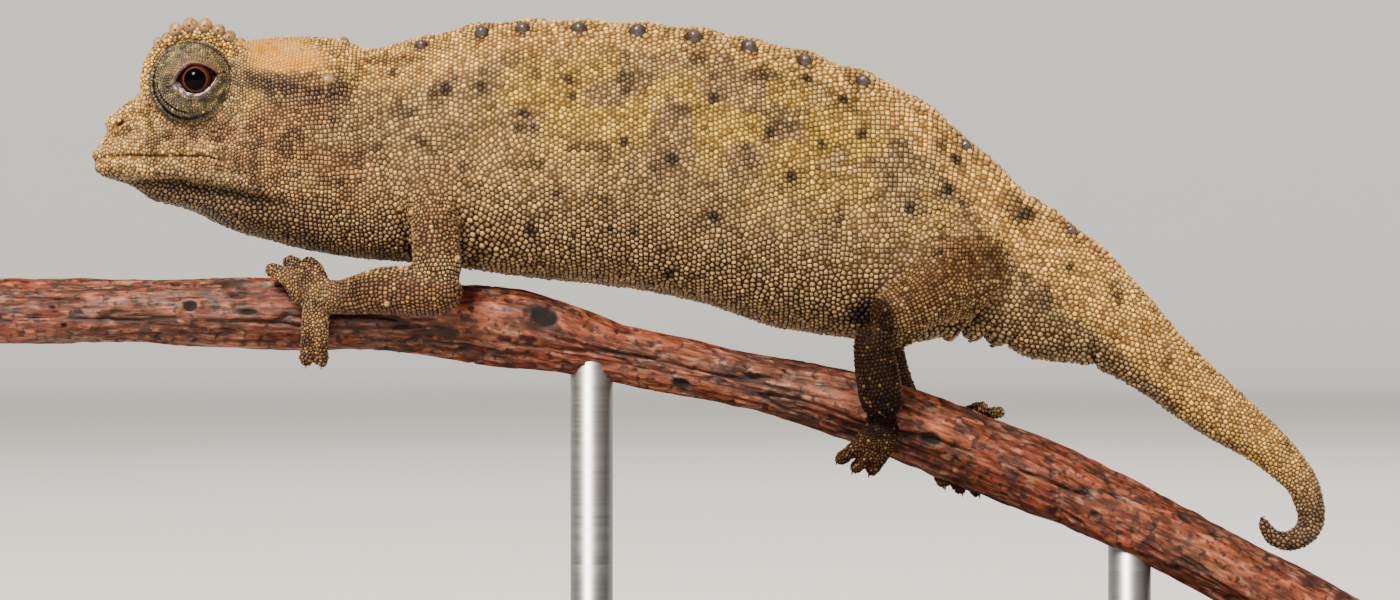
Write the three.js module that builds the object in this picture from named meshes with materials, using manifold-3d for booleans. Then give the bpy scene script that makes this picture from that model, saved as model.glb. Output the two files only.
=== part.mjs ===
// A pygmy leaf chameleon, life size, gripping a short length of dead twig on a plain display stand.
// Millimetres, +Z up. The animal faces -X with its left side towards -Y, and the origin is the centre
// of the stand's underside. The specimen group has its own origin at the tip of the snout: x runs
// back along the animal, y to its right and z up.
import * as THREE from "three";
import { mergeVertices } from "three/addons/utils/BufferGeometryUtils.js";
import Module from "manifold-3d";

const wasm = await Module();
wasm.setup();

const GAP = 0.3; // clearance where two pieces meet
const SNOUT_X = -31.2; // the snout's place over the stand
const SNOUT_HEIGHT = 31.1;

// Cross-sections of the body from the snout to the start of the tail's curl. x and z are the section's
// centre, lean is how far it tips back from upright in degrees, deep and wide are half sizes.
const BODY = [
  { at: "snout tip", x: -0.05, z: 0.0, lean: 0, deep: 0.15, wide: 0.25 },
  { at: "lips", x: 0.2, z: -0.12, lean: 0, deep: 0.85, wide: 0.75 },
  { at: "nostrils", x: 0.9, z: 0.24, lean: 0, deep: 1.52, wide: 1.35 },
  { at: "snout", x: 1.75, z: 0.55, lean: 0, deep: 2.12, wide: 1.8 },
  { at: "front of the eyes", x: 2.9, z: 0.9, lean: 0, deep: 3.1, wide: 2.35 },
  { at: "eyes", x: 4.9, z: 1.3, lean: 0, deep: 4.15, wide: 2.9 },
  { at: "cheeks", x: 7.3, z: 1.05, lean: 0, deep: 4.85, wide: 3.5 },
  { at: "casque", x: 10.0, z: 0.83, lean: 0, deep: 5.35, wide: 3.6 },
  { at: "back of the casque", x: 12.5, z: 0.5, lean: 0, deep: 5.6, wide: 3.2 },
  { at: "nape", x: 14.1, z: 0.15, lean: 0, deep: 5.5, wide: 3.05 },
  { at: "shoulders", x: 16.8, z: 0.35, lean: 0, deep: 5.9, wide: 3.25 },
  { at: "withers", x: 19.4, z: 0.48, lean: 0, deep: 6.4, wide: 3.65 },
  { at: "chest", x: 22.6, z: 0.42, lean: 0, deep: 6.75, wide: 4.05 },
  { at: "ribs", x: 27.0, z: 0.18, lean: 0, deep: 6.95, wide: 4.4 },
  { at: "belly", x: 31.2, z: -0.45, lean: 0, deep: 7.2, wide: 4.5 },
  { at: "loin", x: 35.3, z: -1.5, lean: 0, deep: 7.4, wide: 4.35 },
  { at: "croup", x: 38.9, z: -2.35, lean: 0, deep: 7.1, wide: 3.95 },
  { at: "hips", x: 41.7, z: -3.15, lean: 4, deep: 6.5, wide: 3.5 },
  { at: "sacrum", x: 43.8, z: -4.1, lean: 10, deep: 5.6, wide: 3.05 },
  { at: "vent", x: 45.6, z: -5.15, lean: 22, deep: 4.5, wide: 2.65 },
  { at: "tail root", x: 47.7, z: -6.2, lean: 34, deep: 3.9, wide: 2.35 },
  { at: "tail swelling", x: 50.0, z: -7.35, lean: 38, deep: 3.4, wide: 2.15 },
  { at: "end of the swelling", x: 52.2, z: -8.6, lean: 42, deep: 2.6, wide: 1.85 },
  { at: "upper tail", x: 55.0, z: -10.7, lean: 43, deep: 1.88, wide: 1.6 },
  { at: "middle tail", x: 57.9, z: -13.05, lean: 43, deep: 1.55, wide: 1.4 },
  { at: "lower tail", x: 60.4, z: -14.9, lean: 48, deep: 1.22, wide: 1.12 },
  { at: "start of the curl", x: 62.2, z: -16.75, lean: 63, deep: 0.95, wide: 0.92 },
];
// The tail ends in a flat spiral: an arc about a centre, which narrows to a round tip.
const CURL = {
  x: 61.4,
  z: -18.65,
  radius: 1.42,
  endRadius: 1.12,
  from: -4,
  to: 168,
  steps: 4,
  thick: 0.8,
  endThick: 0.36,
};
const HEAD_SECTION = { taper: -0.06, round: 0.82 }; // flat above, as wide at the brow as at the jaw
const TRUNK_SECTION = { taper: 0.24, round: 0.98 }; // narrow along the back, full along the belly
const TAIL_SECTION = { taper: 0.05, round: 0.95 };
const NECK_FROM = 11.5; // where the head's section turns to the trunk's
const NECK_TO = 17;
const TAIL_FROM = 46;
const TAIL_TO = 52;

// The thin cuts that part the body, as places along it in x, all before the curl.
const CUTS = [
  { x: 13.4, lean: -12 },
  { x: 16.4, lean: 0 },
  { x: 46.6, lean: 26 },
  { x: 53.2, lean: 42 },
  { x: 59.0, lean: 45 },
];
const BODY_PARTS = ["head", "neck", "trunk", "tail_base", "tail_middle", "tail_end"];

const EYE = { x: 5.25, y: 2.3, z: 3.65 }; // centre of the right eye's turret
const TURRET = { radius: 2.22, depth: 2.1, inner: 0.9 }; // inner is where it is cut off inside the head
const EYEBALL = { radius: 0.75, out: 1.4, back: 0.4, lift: 0.1 }; // places from the turret's centre
// The brow is an arc over the eye, in degrees from straight back, that swells into a row of tubercles.
const BROW = { x: 5.55, y: 2.2, z: 3.65, radius: 2.55, from: 204, to: 20 };
const BROW_TUBERCLES = { count: 9, radius: 0.72, between: 0.36 };
const NOSTRIL = { x: 1.35, y: 1.05, z: 1.42 };
const CASQUE_NUB = { x: 12.7, z: 6.1, radius: 0.36 };

// How finely each kind of piece is divided, along it and round it.
const BODY_RINGS = 48;
const BODY_SIDES = 18;
const LIMB_RINGS = 7;
const LIMB_SIDES = 8;
const TOE_RINGS = 4;
const TOE_SIDES = 5;
const TWIG_RINGS = 33;
const TWIG_SIDES = 10;

const TWIG = [
  { x: -5.9, z: -8.1, radius: 1.8 },
  { x: 2.0, z: -8.05, radius: 1.76 },
  { x: 9.0, z: -8.1, radius: 1.84 },
  { x: 16.0, z: -8.35, radius: 1.86 },
  { x: 21.9, z: -8.9, radius: 2.12 },
  { x: 27.0, z: -10.15, radius: 1.52 },
  { x: 33.0, z: -11.4, radius: 1.5 },
  { x: 39.0, z: -12.85, radius: 1.85 },
  { x: 46.5, z: -15.6, radius: 2.0 },
  { x: 52.0, z: -18.1, radius: 1.8 },
  { x: 60.0, z: -22.1, radius: 1.92 },
  { x: 66.8, z: -25.8, radius: 1.92 },
];

const BASE = { length: 62, width: 30, thick: 3, corner: 6, bevel: 0.4 };
const ROD = { radius: 1.1, sides: 12, socket: 1.8, intoTwig: 1.0 };
const ROD_PLACES = [
  { name: "stand_rod_front", x: 25.6 },
  { name: "stand_rod_rear", x: 53.4 },
];

const material = (color, roughness, metalness = 0) =>
  new THREE.MeshStandardMaterial({ color, roughness, metalness });
const SKIN = material(0xa48a60, 0.7);
const TURRET_SKIN = material(0x7d7050, 0.65);
const EYE_GLOSS = material(0x0a0808, 0.08);
const WOOD = material(0x8d6250, 0.85);
const BLACK_BOARD = material(0x1b1b1c, 0.45);
const STEEL = material(0xb9bbbd, 0.3, 1);

const radians = THREE.MathUtils.degToRad;
const smooth = (x, from, to) => THREE.MathUtils.smoothstep(x, from, to);
const point = (x, y, z) => new THREE.Vector3(x, y, z);

// ---- Solids ------------------------------------------------------------------------------------

/** A closed three.js geometry as a manifold-3d solid. */
function solid(geometry) {
  geometry.deleteAttribute("normal");
  geometry.deleteAttribute("uv");
  const merged = mergeVertices(geometry, 1e-4);
  return new wasm.Manifold(
    new wasm.Mesh({
      numProp: 3,
      vertProperties: merged.getAttribute("position").array,
      triVerts: new Uint32Array(merged.index.array),
    }),
  );
}

/** A manifold-3d solid as a named three.js mesh. */
function meshOf(name, made, finish) {
  const { vertProperties, triVerts, numProp } = made.getMesh();
  const count = vertProperties.length / numProp;
  const positions = new Float32Array(count * 3);
  for (let i = 0; i < count; i++)
    positions.set(vertProperties.subarray(i * numProp, i * numProp + 3), i * 3);
  const geometry = new THREE.BufferGeometry()
    .setAttribute("position", new THREE.BufferAttribute(positions, 3))
    .setIndex(new THREE.BufferAttribute(new Uint32Array(triVerts), 1));
  geometry.computeVertexNormals();
  const mesh = new THREE.Mesh(geometry, finish);
  mesh.name = name;
  return mesh;
}

const union = (solids) => solids.reduce((sum, next) => sum.add(next));

/** The smooth curve through points that every path and every run of sizes here follows. */
const curveThrough = (points) => new THREE.CatmullRomCurve3(points, false, "catmullrom", 0.5);

/**
 * A closed tube: a capped cylinder whose vertices move to place(t, angle, reach), where t runs along
 * it from 0 to 1, angle goes round it and reach is 0 on its axis and 1 at its wall.
 */
function sweep(rings, sides, place) {
  const tube = new THREE.CylinderGeometry(1, 1, 1, sides, rings);
  const position = tube.getAttribute("position");
  const vertex = new THREE.Vector3();
  for (let i = 0; i < position.count; i++) {
    vertex.fromBufferAttribute(position, i);
    const { x, y, z } = place(0.5 - vertex.y, Math.atan2(vertex.x, vertex.z), Math.hypot(vertex.x, vertex.z));
    position.setXYZ(i, x, y, z);
  }
  return solid(tube);
}

/** A round limb or toe through { x, y, z, radius } places, with rounded ends. */
function limb(places, { rings = LIMB_RINGS, sides = LIMB_SIDES, grow = 0 } = {}) {
  const path = curveThrough(places.map((p) => point(p.x, p.y, p.z)));
  const size = curveThrough(places.map((p) => point(p.radius, 0, 0)));
  const length = path.getLength();
  const sideways = point(0, 1, 0);
  return sweep(rings, sides, (t, angle, reach) => {
    const forward = path.getTangent(t);
    const across = sideways.clone().cross(forward).normalize();
    const up = forward.clone().cross(across);
    const radius = size.getPoint(t).x;
    const toEnd = Math.min(t, 1 - t) * length;
    const shrink = Math.sqrt(1 - (1 - Math.min(1, toEnd / radius)) ** 2);
    const r = (Math.max(0.25, shrink) * radius + grow) * reach;
    return path
      .getPoint(t)
      .addScaledVector(across, r * Math.sin(angle))
      .addScaledVector(up, r * Math.cos(angle));
  });
}

/** An ellipsoid with its centre and half sizes. */
function ellipsoid(centre, half, detail = 14) {
  const ball = new THREE.SphereGeometry(1, detail, Math.ceil(detail * 0.7));
  ball.scale(half.x, half.y, half.z).translate(centre.x, centre.y, centre.z);
  return solid(ball);
}

/** Everything on one side of a plane through (x, z) that leans by lean: ahead 1 is towards the tail. */
function halfSpace(x, z, lean, ahead) {
  const size = 240;
  const block = new THREE.BoxGeometry(size, size, size);
  block.translate((ahead * (size + GAP)) / 2, 0, 0);
  block.rotateY(radians(lean)).translate(x, 0, z);
  return solid(block);
}

const mirrored = (places, side) => places.map((p) => ({ ...p, y: p.y * side }));

// ---- The body ----------------------------------------------------------------------------------

function bodyStations() {
  const curl = [];
  for (let i = 0; i <= CURL.steps; i++) {
    const share = i / CURL.steps;
    const angle = radians(THREE.MathUtils.lerp(CURL.from, CURL.to, share));
    const radius = THREE.MathUtils.lerp(CURL.radius, CURL.endRadius, share);
    const thick = THREE.MathUtils.lerp(CURL.thick, CURL.endThick, share);
    curl.push({
      x: CURL.x + radius * Math.cos(angle),
      z: CURL.z - radius * Math.sin(angle),
      lean: 90 + THREE.MathUtils.radToDeg(angle),
      deep: thick,
      wide: thick,
    });
  }
  const last = curl[curl.length - 1];
  const beyond = radians(CURL.to + 16);
  const tip = {
    x: CURL.x + CURL.endRadius * Math.cos(beyond),
    z: CURL.z - CURL.endRadius * Math.sin(beyond),
    lean: last.lean + 16,
    deep: 0.08,
    wide: 0.08,
  };
  return [...BODY, ...curl, tip];
}

/** How square and how bottom-heavy the section is at x: the head's, then the trunk's, then the tail's. */
function sectionShape(x) {
  const trunk = smooth(x, NECK_FROM, NECK_TO);
  const tail = smooth(x, TAIL_FROM, TAIL_TO);
  const mix = (key) =>
    THREE.MathUtils.lerp(
      THREE.MathUtils.lerp(HEAD_SECTION[key], TRUNK_SECTION[key], trunk),
      TAIL_SECTION[key],
      tail,
    );
  return { taper: mix("taper"), round: mix("round") };
}

/** A sine or cosine raised to a power below 1 squares the section's corners. */
const squared = (value, power) => Math.sign(value) * Math.abs(value) ** power;

function bodySolid(rings, sides, grow = 0) {
  const stations = bodyStations();
  const path = curveThrough(stations.map((s) => point(s.x, 0, s.z)));
  const size = curveThrough(stations.map((s) => point(s.deep, s.wide, s.lean)));
  return sweep(rings, sides, (t, angle, reach) => {
    const centre = path.getPoint(t);
    const { x: deep, y: wide, z: lean } = size.getPoint(t);
    const { taper, round } = sectionShape(centre.x);
    const tip = radians(lean);
    const up = (deep + grow) * squared(Math.cos(angle), round) * reach;
    const across =
      (wide + grow) * squared(Math.sin(angle), round) * (1 - taper * Math.cos(angle)) * reach;
    return point(centre.x + up * Math.sin(tip), across, centre.z + up * Math.cos(tip));
  });
}

/** The centre of the body's section at x, ahead of the curl. */
function centreAt(x) {
  const next = BODY.findIndex((s) => s.x > x);
  const [a, b] = [BODY[next - 1], BODY[next]];
  return THREE.MathUtils.lerp(a.z, b.z, (x - a.x) / (b.x - a.x));
}

// ---- The head ----------------------------------------------------------------------------------

/** The brow of one side: a bent tube whose radius rises at each tubercle, most over the eye. */
function brow(side) {
  const places = [];
  const steps = 2 * BROW_TUBERCLES.count;
  for (let i = 0; i <= steps; i++) {
    const angle = radians(THREE.MathUtils.lerp(BROW.from, BROW.to, i / steps));
    const height = 0.65 + 0.35 * Math.sin((Math.PI * i) / steps);
    places.push({
      x: BROW.x + BROW.radius * Math.cos(angle),
      y: side * BROW.y,
      z: BROW.z + BROW.radius * Math.sin(angle),
      radius: i % 2 === 1 ? BROW_TUBERCLES.radius * height : BROW_TUBERCLES.between,
    });
  }
  return limb(places, { rings: 2 * steps, sides: 5 });
}

const turretOf = (side, grow = 0) =>
  ellipsoid(
    point(EYE.x, side * EYE.y, EYE.z),
    point(TURRET.radius + grow, TURRET.depth + grow, TURRET.radius + grow),
    11,
  );

function eyeballOf(side, grow = 0) {
  const r = EYEBALL.radius + grow;
  const centre = point(EYE.x + EYEBALL.back, side * (EYE.y + EYEBALL.out), EYE.z + EYEBALL.lift);
  return ellipsoid(centre, point(r, r, r), 9);
}

/** Everything outside the plane y = inner on one side of the head. */
function outside(side, inner) {
  const size = 40;
  const block = new THREE.BoxGeometry(size, size, size);
  block.translate(EYE.x, side * (inner + size / 2), EYE.z);
  return solid(block);
}

function headDetails() {
  const details = [];
  for (const side of [-1, 1]) {
    details.push(brow(side));
    details.push(ellipsoid(point(EYE.x, side * 1.55, EYE.z), point(2.7, 1.7, 2.6), 10)); // orbit
    details.push(ellipsoid(point(NOSTRIL.x, side * NOSTRIL.y, NOSTRIL.z), point(0.65, 0.5, 0.6), 8));
  }
  const nub = CASQUE_NUB.radius;
  details.push(ellipsoid(point(CASQUE_NUB.x, 0, CASQUE_NUB.z), point(nub, nub, nub), 6));
  return details;
}

// ---- Limbs: paths for the right side, mirrored for the left -----------------------------------

const at = (x, y, z, radius) => ({ x, y, z, radius });

const LIMBS = {
  left: {
    side: -1,
    upperArm: [at(17.3, 2.4, -1.4, 1.5), at(17.75, 3.6, -3.9, 1.25), at(17.95, 4.1, -7.0, 1.25)],
    forearm: [
      at(19.1, 4.15, -6.95, 1.1),
      at(17.4, 4.0, -7.0, 1.3),
      at(15.2, 3.6, -6.95, 1.25),
      at(13.2, 3.05, -7.25, 0.95),
      at(11.8, 2.6, -7.3, 0.8),
    ],
    fore: {
      palm: at(11.65, 2.55, -7.45, 0.8),
      top: [at(8.9, 1.3, -5.8, 0.4), at(9.8, 1.15, -5.45, 0.4), at(10.75, 1.1, -5.5, 0.4)],
      under: [at(11.0, 1.75, -10.75, 0.42), at(11.8, 1.75, -10.8, 0.42)],
    },
    thigh: [at(44.6, 2.0, -6.2, 2.0), at(42.3, 3.5, -7.4, 1.6), at(39.9, 4.15, -8.6, 1.0)],
    shank: [at(39.8, 4.15, -8.7, 0.95), at(40.15, 3.8, -11.0, 1.15), at(40.6, 3.1, -13.4, 1.1)],
    hind: {
      palm: at(40.45, 2.75, -14.3, 0.95),
      top: [at(40.0, 0.3, -10.65, 0.42), at(40.9, 0.2, -10.9, 0.42)],
      under: [at(38.2, 2.15, -15.7, 0.42), at(39.0, 1.95, -16.2, 0.42), at(39.85, 1.85, -16.35, 0.42)],
    },
  },
  right: {
    side: 1,
    upperArm: [at(17.3, 2.4, -1.4, 1.5), at(17.3, 3.5, -3.7, 1.2), at(17.3, 4.0, -6.5, 1.15)],
    forearm: [
      at(17.9, 4.0, -6.6, 1.1),
      at(16.9, 3.6, -6.9, 1.15),
      at(15.8, 3.0, -7.2, 0.95),
      at(14.9, 2.6, -7.3, 0.75),
    ],
    fore: {
      palm: at(14.8, 2.55, -7.5, 0.75),
      top: [at(13.9, 0.4, -6.1, 0.4), at(14.7, 0.3, -6.05, 0.38), at(15.5, 0.4, -6.1, 0.38)],
      under: [at(14.1, 2.2, -9.75, 0.42), at(14.9, 2.2, -9.8, 0.42)],
    },
    thigh: [at(44.6, 2.0, -6.2, 2.0), at(42.8, 3.5, -7.4, 1.6), at(40.9, 4.15, -8.9, 1.0)],
    shank: [at(40.8, 4.15, -8.95, 0.95), at(41.3, 3.8, -11.4, 1.05), at(42.4, 3.1, -13.9, 0.95)],
    hind: {
      palm: at(43.5, 2.85, -14.7, 0.85),
      top: [at(46.0, 0.9, -12.95, 0.37), at(46.95, 0.9, -13.2, 0.37)],
      under: [at(44.0, 2.0, -17.2, 0.4), at(44.9, 1.95, -17.5, 0.4), at(45.8, 2.1, -17.6, 0.4)],
      reach: 0.6,
    },
  },
};

/** A bundle of toes side by side from the palm to its tips, bowed outwards from the twig. */
function bundle(palm, tips, bow) {
  const spread = 0.6; // how much of the tips' spacing is left at the palm
  const middleOf = (key) => tips.reduce((sum, tip) => sum + tip[key], 0) / tips.length;
  return tips.map((tip) => {
    const root = at(
      palm.x + (tip.x - middleOf("x")) * spread,
      palm.y,
      palm.z + (tip.z - middleOf("z")) * spread,
      tip.radius * 1.25,
    );
    const knuckle = at(
      (root.x + tip.x) / 2 + bow.x,
      (root.y + tip.y) / 2 + bow.y,
      (root.z + tip.z) / 2 + bow.z,
      tip.radius * 1.2,
    );
    return limb([root, knuckle, tip], { rings: TOE_RINGS, sides: TOE_SIDES });
  });
}

/** A tongs-like foot: a palm with one bundle of toes over the twig and one under it. */
function foot({ palm, top, under, reach = 0 }, side) {
  const [hand] = mirrored([palm], side);
  const half = point(palm.radius, palm.radius * 0.8, palm.radius * 1.1);
  return union([
    ellipsoid(point(hand.x, hand.y, hand.z), half, 6),
    ...bundle(hand, mirrored(top, side), { x: reach, y: side * 0.25, z: 0.45 }),
    ...bundle(hand, mirrored(under, side), { x: 0, y: side * 0.35, z: -0.1 }),
  ]);
}

/** The named pieces of one side's two limbs, each cut clear of what it grows from. */
function limbPieces(label, trunkRoom, twigRoom) {
  const { side, upperArm, forearm, fore, thigh, shank, hind } = LIMBS[label];
  const chain = (names, upper, lower, grip) => {
    const upperPath = mirrored(upper, side);
    const lowerPath = mirrored(lower, side);
    const lowerSolid = limb(lowerPath);
    const footSolid = foot(grip, side).subtract(twigRoom).subtract(limb(lowerPath, { grow: GAP }));
    const pieces = [
      limb(upperPath).subtract(trunkRoom),
      lowerSolid.subtract(limb(upperPath, { grow: GAP })).subtract(trunkRoom).subtract(twigRoom),
      footSolid,
    ];
    return pieces.map((made, i) => [`${names[i]}_${label}`, largest(made)]);
  };
  return [
    ...chain(["upper_arm", "forearm", "forefoot"], upperArm, forearm, fore),
    ...chain(["thigh", "shank", "hindfoot"], thigh, shank, hind),
  ];
}

/** The biggest body of a solid, without any sliver that a cut left beside it. */
function largest(made) {
  return made.decompose().reduce((best, next) => (next.volume() > best.volume() ? next : best));
}

// ---- Twig and stand ----------------------------------------------------------------------------

function twigSolid(grow = 0) {
  const path = curveThrough(TWIG.map((p) => point(p.x, 0, p.z)));
  const size = curveThrough(TWIG.map((p) => point(p.radius, 0, 0)));
  return sweep(TWIG_RINGS, TWIG_SIDES, (t, angle, reach) => {
    const forward = path.getTangent(t);
    const lumps = 1 + 0.035 * Math.sin(3 * angle + 9 * t) + 0.03 * Math.sin(2 * angle - 23 * t);
    const radius = (size.getPoint(t).x * lumps + grow) * reach;
    const up = point(-forward.z, 0, forward.x);
    return path
      .getPoint(t)
      .addScaledVector(up, radius * Math.cos(angle))
      .add(point(0, radius * Math.sin(angle), 0));
  });
}

/** An upright round bar in the specimen's frame, between two heights. */
function bar(x, radius, low, high) {
  const cylinder = new THREE.CylinderGeometry(radius, radius, high - low, ROD.sides);
  cylinder.rotateX(Math.PI / 2).translate(x, 0, (low + high) / 2);
  return solid(cylinder);
}

/** The height of the twig's underside at x, in the specimen's frame. */
function twigUnderside(x) {
  const next = TWIG.findIndex((p) => p.x > x);
  const [a, b] = [TWIG[next - 1], TWIG[next]];
  const share = (x - a.x) / (b.x - a.x);
  return THREE.MathUtils.lerp(a.z - a.radius, b.z - b.radius, share);
}

function baseSolid() {
  const { length, width, thick, corner, bevel } = BASE;
  const [hx, hy] = [length / 2 - bevel, width / 2 - bevel];
  const outline = new THREE.Shape();
  outline.moveTo(-hx + corner, -hy);
  outline.lineTo(hx - corner, -hy);
  outline.absarc(hx - corner, -hy + corner, corner, -Math.PI / 2, 0);
  outline.absarc(hx - corner, hy - corner, corner, 0, Math.PI / 2);
  outline.absarc(-hx + corner, hy - corner, corner, Math.PI / 2, Math.PI);
  outline.absarc(-hx + corner, -hy + corner, corner, Math.PI, 1.5 * Math.PI);
  const plate = new THREE.ExtrudeGeometry(outline, {
    depth: thick - 2 * bevel,
    bevelThickness: bevel,
    bevelSize: bevel,
    bevelSegments: 1,
    curveSegments: 3,
  });
  plate.translate(0, 0, bevel);
  return solid(plate);
}

// ---- Assembly ----------------------------------------------------------------------------------

function bodyPieces() {
  const body = union([bodySolid(BODY_RINGS, BODY_SIDES), ...headDetails()]);
  const sockets = union([turretOf(-1, GAP), turretOf(1, GAP)]);
  const openBody = body.subtract(sockets);
  const beyond = (cut, ahead) => halfSpace(cut.x, centreAt(cut.x), cut.lean, ahead);
  return BODY_PARTS.map((name, i) => {
    let piece = openBody;
    if (i > 0) piece = piece.intersect(beyond(CUTS[i - 1], 1));
    if (i < CUTS.length) piece = piece.intersect(beyond(CUTS[i], -1));
    return [name, largest(piece)];
  });
}

const part = new THREE.Group();
const specimen = new THREE.Group();
specimen.position.set(SNOUT_X, 0, SNOUT_HEIGHT);
part.add(specimen);

for (const [name, made] of bodyPieces()) specimen.add(meshOf(name, made, SKIN));

for (const [label, side] of [["left", -1], ["right", 1]]) {
  const turret = turretOf(side).intersect(outside(side, TURRET.inner)).subtract(eyeballOf(side, GAP));
  specimen.add(meshOf(`eye_turret_${label}`, turret, TURRET_SKIN));
  specimen.add(meshOf(`eyeball_${label}`, eyeballOf(side), EYE_GLOSS));
}

const trunkRoom = bodySolid(BODY_RINGS, BODY_SIDES, GAP);
const twigRoom = twigSolid(GAP);
for (const label of ["left", "right"])
  for (const [name, made] of limbPieces(label, trunkRoom, twigRoom)) specimen.add(meshOf(name, made, SKIN));

const baseTop = BASE.thick - SNOUT_HEIGHT; // in the specimen's frame
let twig = twigSolid();
let base = baseSolid();
for (const { name, x } of ROD_PLACES) {
  const bottom = baseTop - ROD.socket;
  const top = twigUnderside(x) + ROD.intoTwig;
  specimen.add(meshOf(name, bar(x, ROD.radius, bottom, top), STEEL));
  twig = twig.subtract(bar(x, ROD.radius + GAP, bottom, top + GAP));
  const hole = bar(x, ROD.radius + GAP, bottom - GAP, baseTop + 1);
  base = base.subtract(hole.translate([SNOUT_X, 0, SNOUT_HEIGHT]));
}
specimen.add(meshOf("perch_twig", twig, WOOD));
part.add(meshOf("stand_base", base, BLACK_BOARD));

export default part;
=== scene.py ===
import itertools
import math

import bpy
import numpy as np
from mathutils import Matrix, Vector
from mathutils.bvhtree import BVHTree


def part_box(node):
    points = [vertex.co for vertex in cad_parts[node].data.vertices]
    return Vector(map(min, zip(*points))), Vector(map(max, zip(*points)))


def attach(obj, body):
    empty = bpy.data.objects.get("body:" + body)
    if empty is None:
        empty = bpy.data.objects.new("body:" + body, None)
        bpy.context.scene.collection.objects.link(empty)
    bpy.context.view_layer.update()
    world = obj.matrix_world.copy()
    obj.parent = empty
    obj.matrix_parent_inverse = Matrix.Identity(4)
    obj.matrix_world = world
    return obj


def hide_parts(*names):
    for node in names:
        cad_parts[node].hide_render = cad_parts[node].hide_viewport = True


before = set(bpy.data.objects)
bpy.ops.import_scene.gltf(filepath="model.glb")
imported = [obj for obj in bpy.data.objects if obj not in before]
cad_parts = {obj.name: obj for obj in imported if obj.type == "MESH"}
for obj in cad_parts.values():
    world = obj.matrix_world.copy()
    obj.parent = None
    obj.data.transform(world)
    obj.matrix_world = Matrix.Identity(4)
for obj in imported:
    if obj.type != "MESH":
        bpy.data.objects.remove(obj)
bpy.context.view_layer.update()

MM = 0.001
SNOUT = np.array([-31.2, 0.0, 31.1])  # the specimen's origin over the stand
COAT = 0.13  # how deep the coat of scales is on the trunk, which the skin lies inside by
LIMB_COAT = 0.09  # the same on the limbs
TOE_COAT = 0.05  # and on the hands, feet and toes

# ---- Sizes repeated from the solids ------------------------------------------------------------

# Cross-sections from the snout to the start of the tail's curl: x, z, lean in degrees, half depth
# and half width.
BODY = np.array([
    (-0.05, 0.0, 0, 0.15, 0.25), (0.2, -0.12, 0, 0.85, 0.75), (0.9, 0.24, 0, 1.52, 1.35),
    (1.75, 0.55, 0, 2.12, 1.8), (2.9, 0.9, 0, 3.1, 2.35), (4.9, 1.3, 0, 4.15, 2.9),
    (7.3, 1.05, 0, 4.85, 3.5), (10.0, 0.83, 0, 5.35, 3.6), (12.5, 0.5, 0, 5.6, 3.2),
    (14.1, 0.15, 0, 5.5, 3.05), (16.8, 0.35, 0, 5.9, 3.25), (19.4, 0.48, 0, 6.4, 3.65),
    (22.6, 0.42, 0, 6.75, 4.05), (27.0, 0.18, 0, 6.95, 4.4), (31.2, -0.45, 0, 7.2, 4.5),
    (35.3, -1.5, 0, 7.4, 4.35), (38.9, -2.35, 0, 7.1, 3.95), (41.7, -3.15, 4, 6.5, 3.5),
    (43.8, -4.1, 10, 5.6, 3.05), (45.6, -5.15, 22, 4.5, 2.65), (47.7, -6.2, 34, 3.9, 2.35),
    (50.0, -7.35, 38, 3.4, 2.15), (52.2, -8.6, 42, 2.6, 1.85), (55.0, -10.7, 43, 1.88, 1.6),
    (57.9, -13.05, 43, 1.55, 1.4), (60.4, -14.9, 48, 1.22, 1.12), (62.2, -16.75, 63, 0.95, 0.92),
])
CURL = {"x": 61.4, "z": -18.65, "radius": (1.42, 1.12), "turn": (-4, 168), "thick": (0.8, 0.36)}
HEAD_SECTION = (-0.06, 0.82)  # taper and roundness
TRUNK_SECTION = (0.24, 0.98)
TAIL_SECTION = (0.05, 0.95)
NECK = (11.5, 17.0)  # where the head's section turns to the trunk's
TAIL = (46.0, 52.0)
EYE = (5.25, 2.3, 3.65)  # centre of the right eye's turret
TURRET = (2.22, 2.1, 0.9)  # radius, depth and where it is closed inside the head
EYEBALL = (5.65, 3.7, 3.75)
EYEBALL_RADIUS = 0.75
BROW = (5.55, 2.2, 3.65)
BROW_RADIUS = 2.55
BROW_STEPS = 17  # places along a brow

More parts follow.
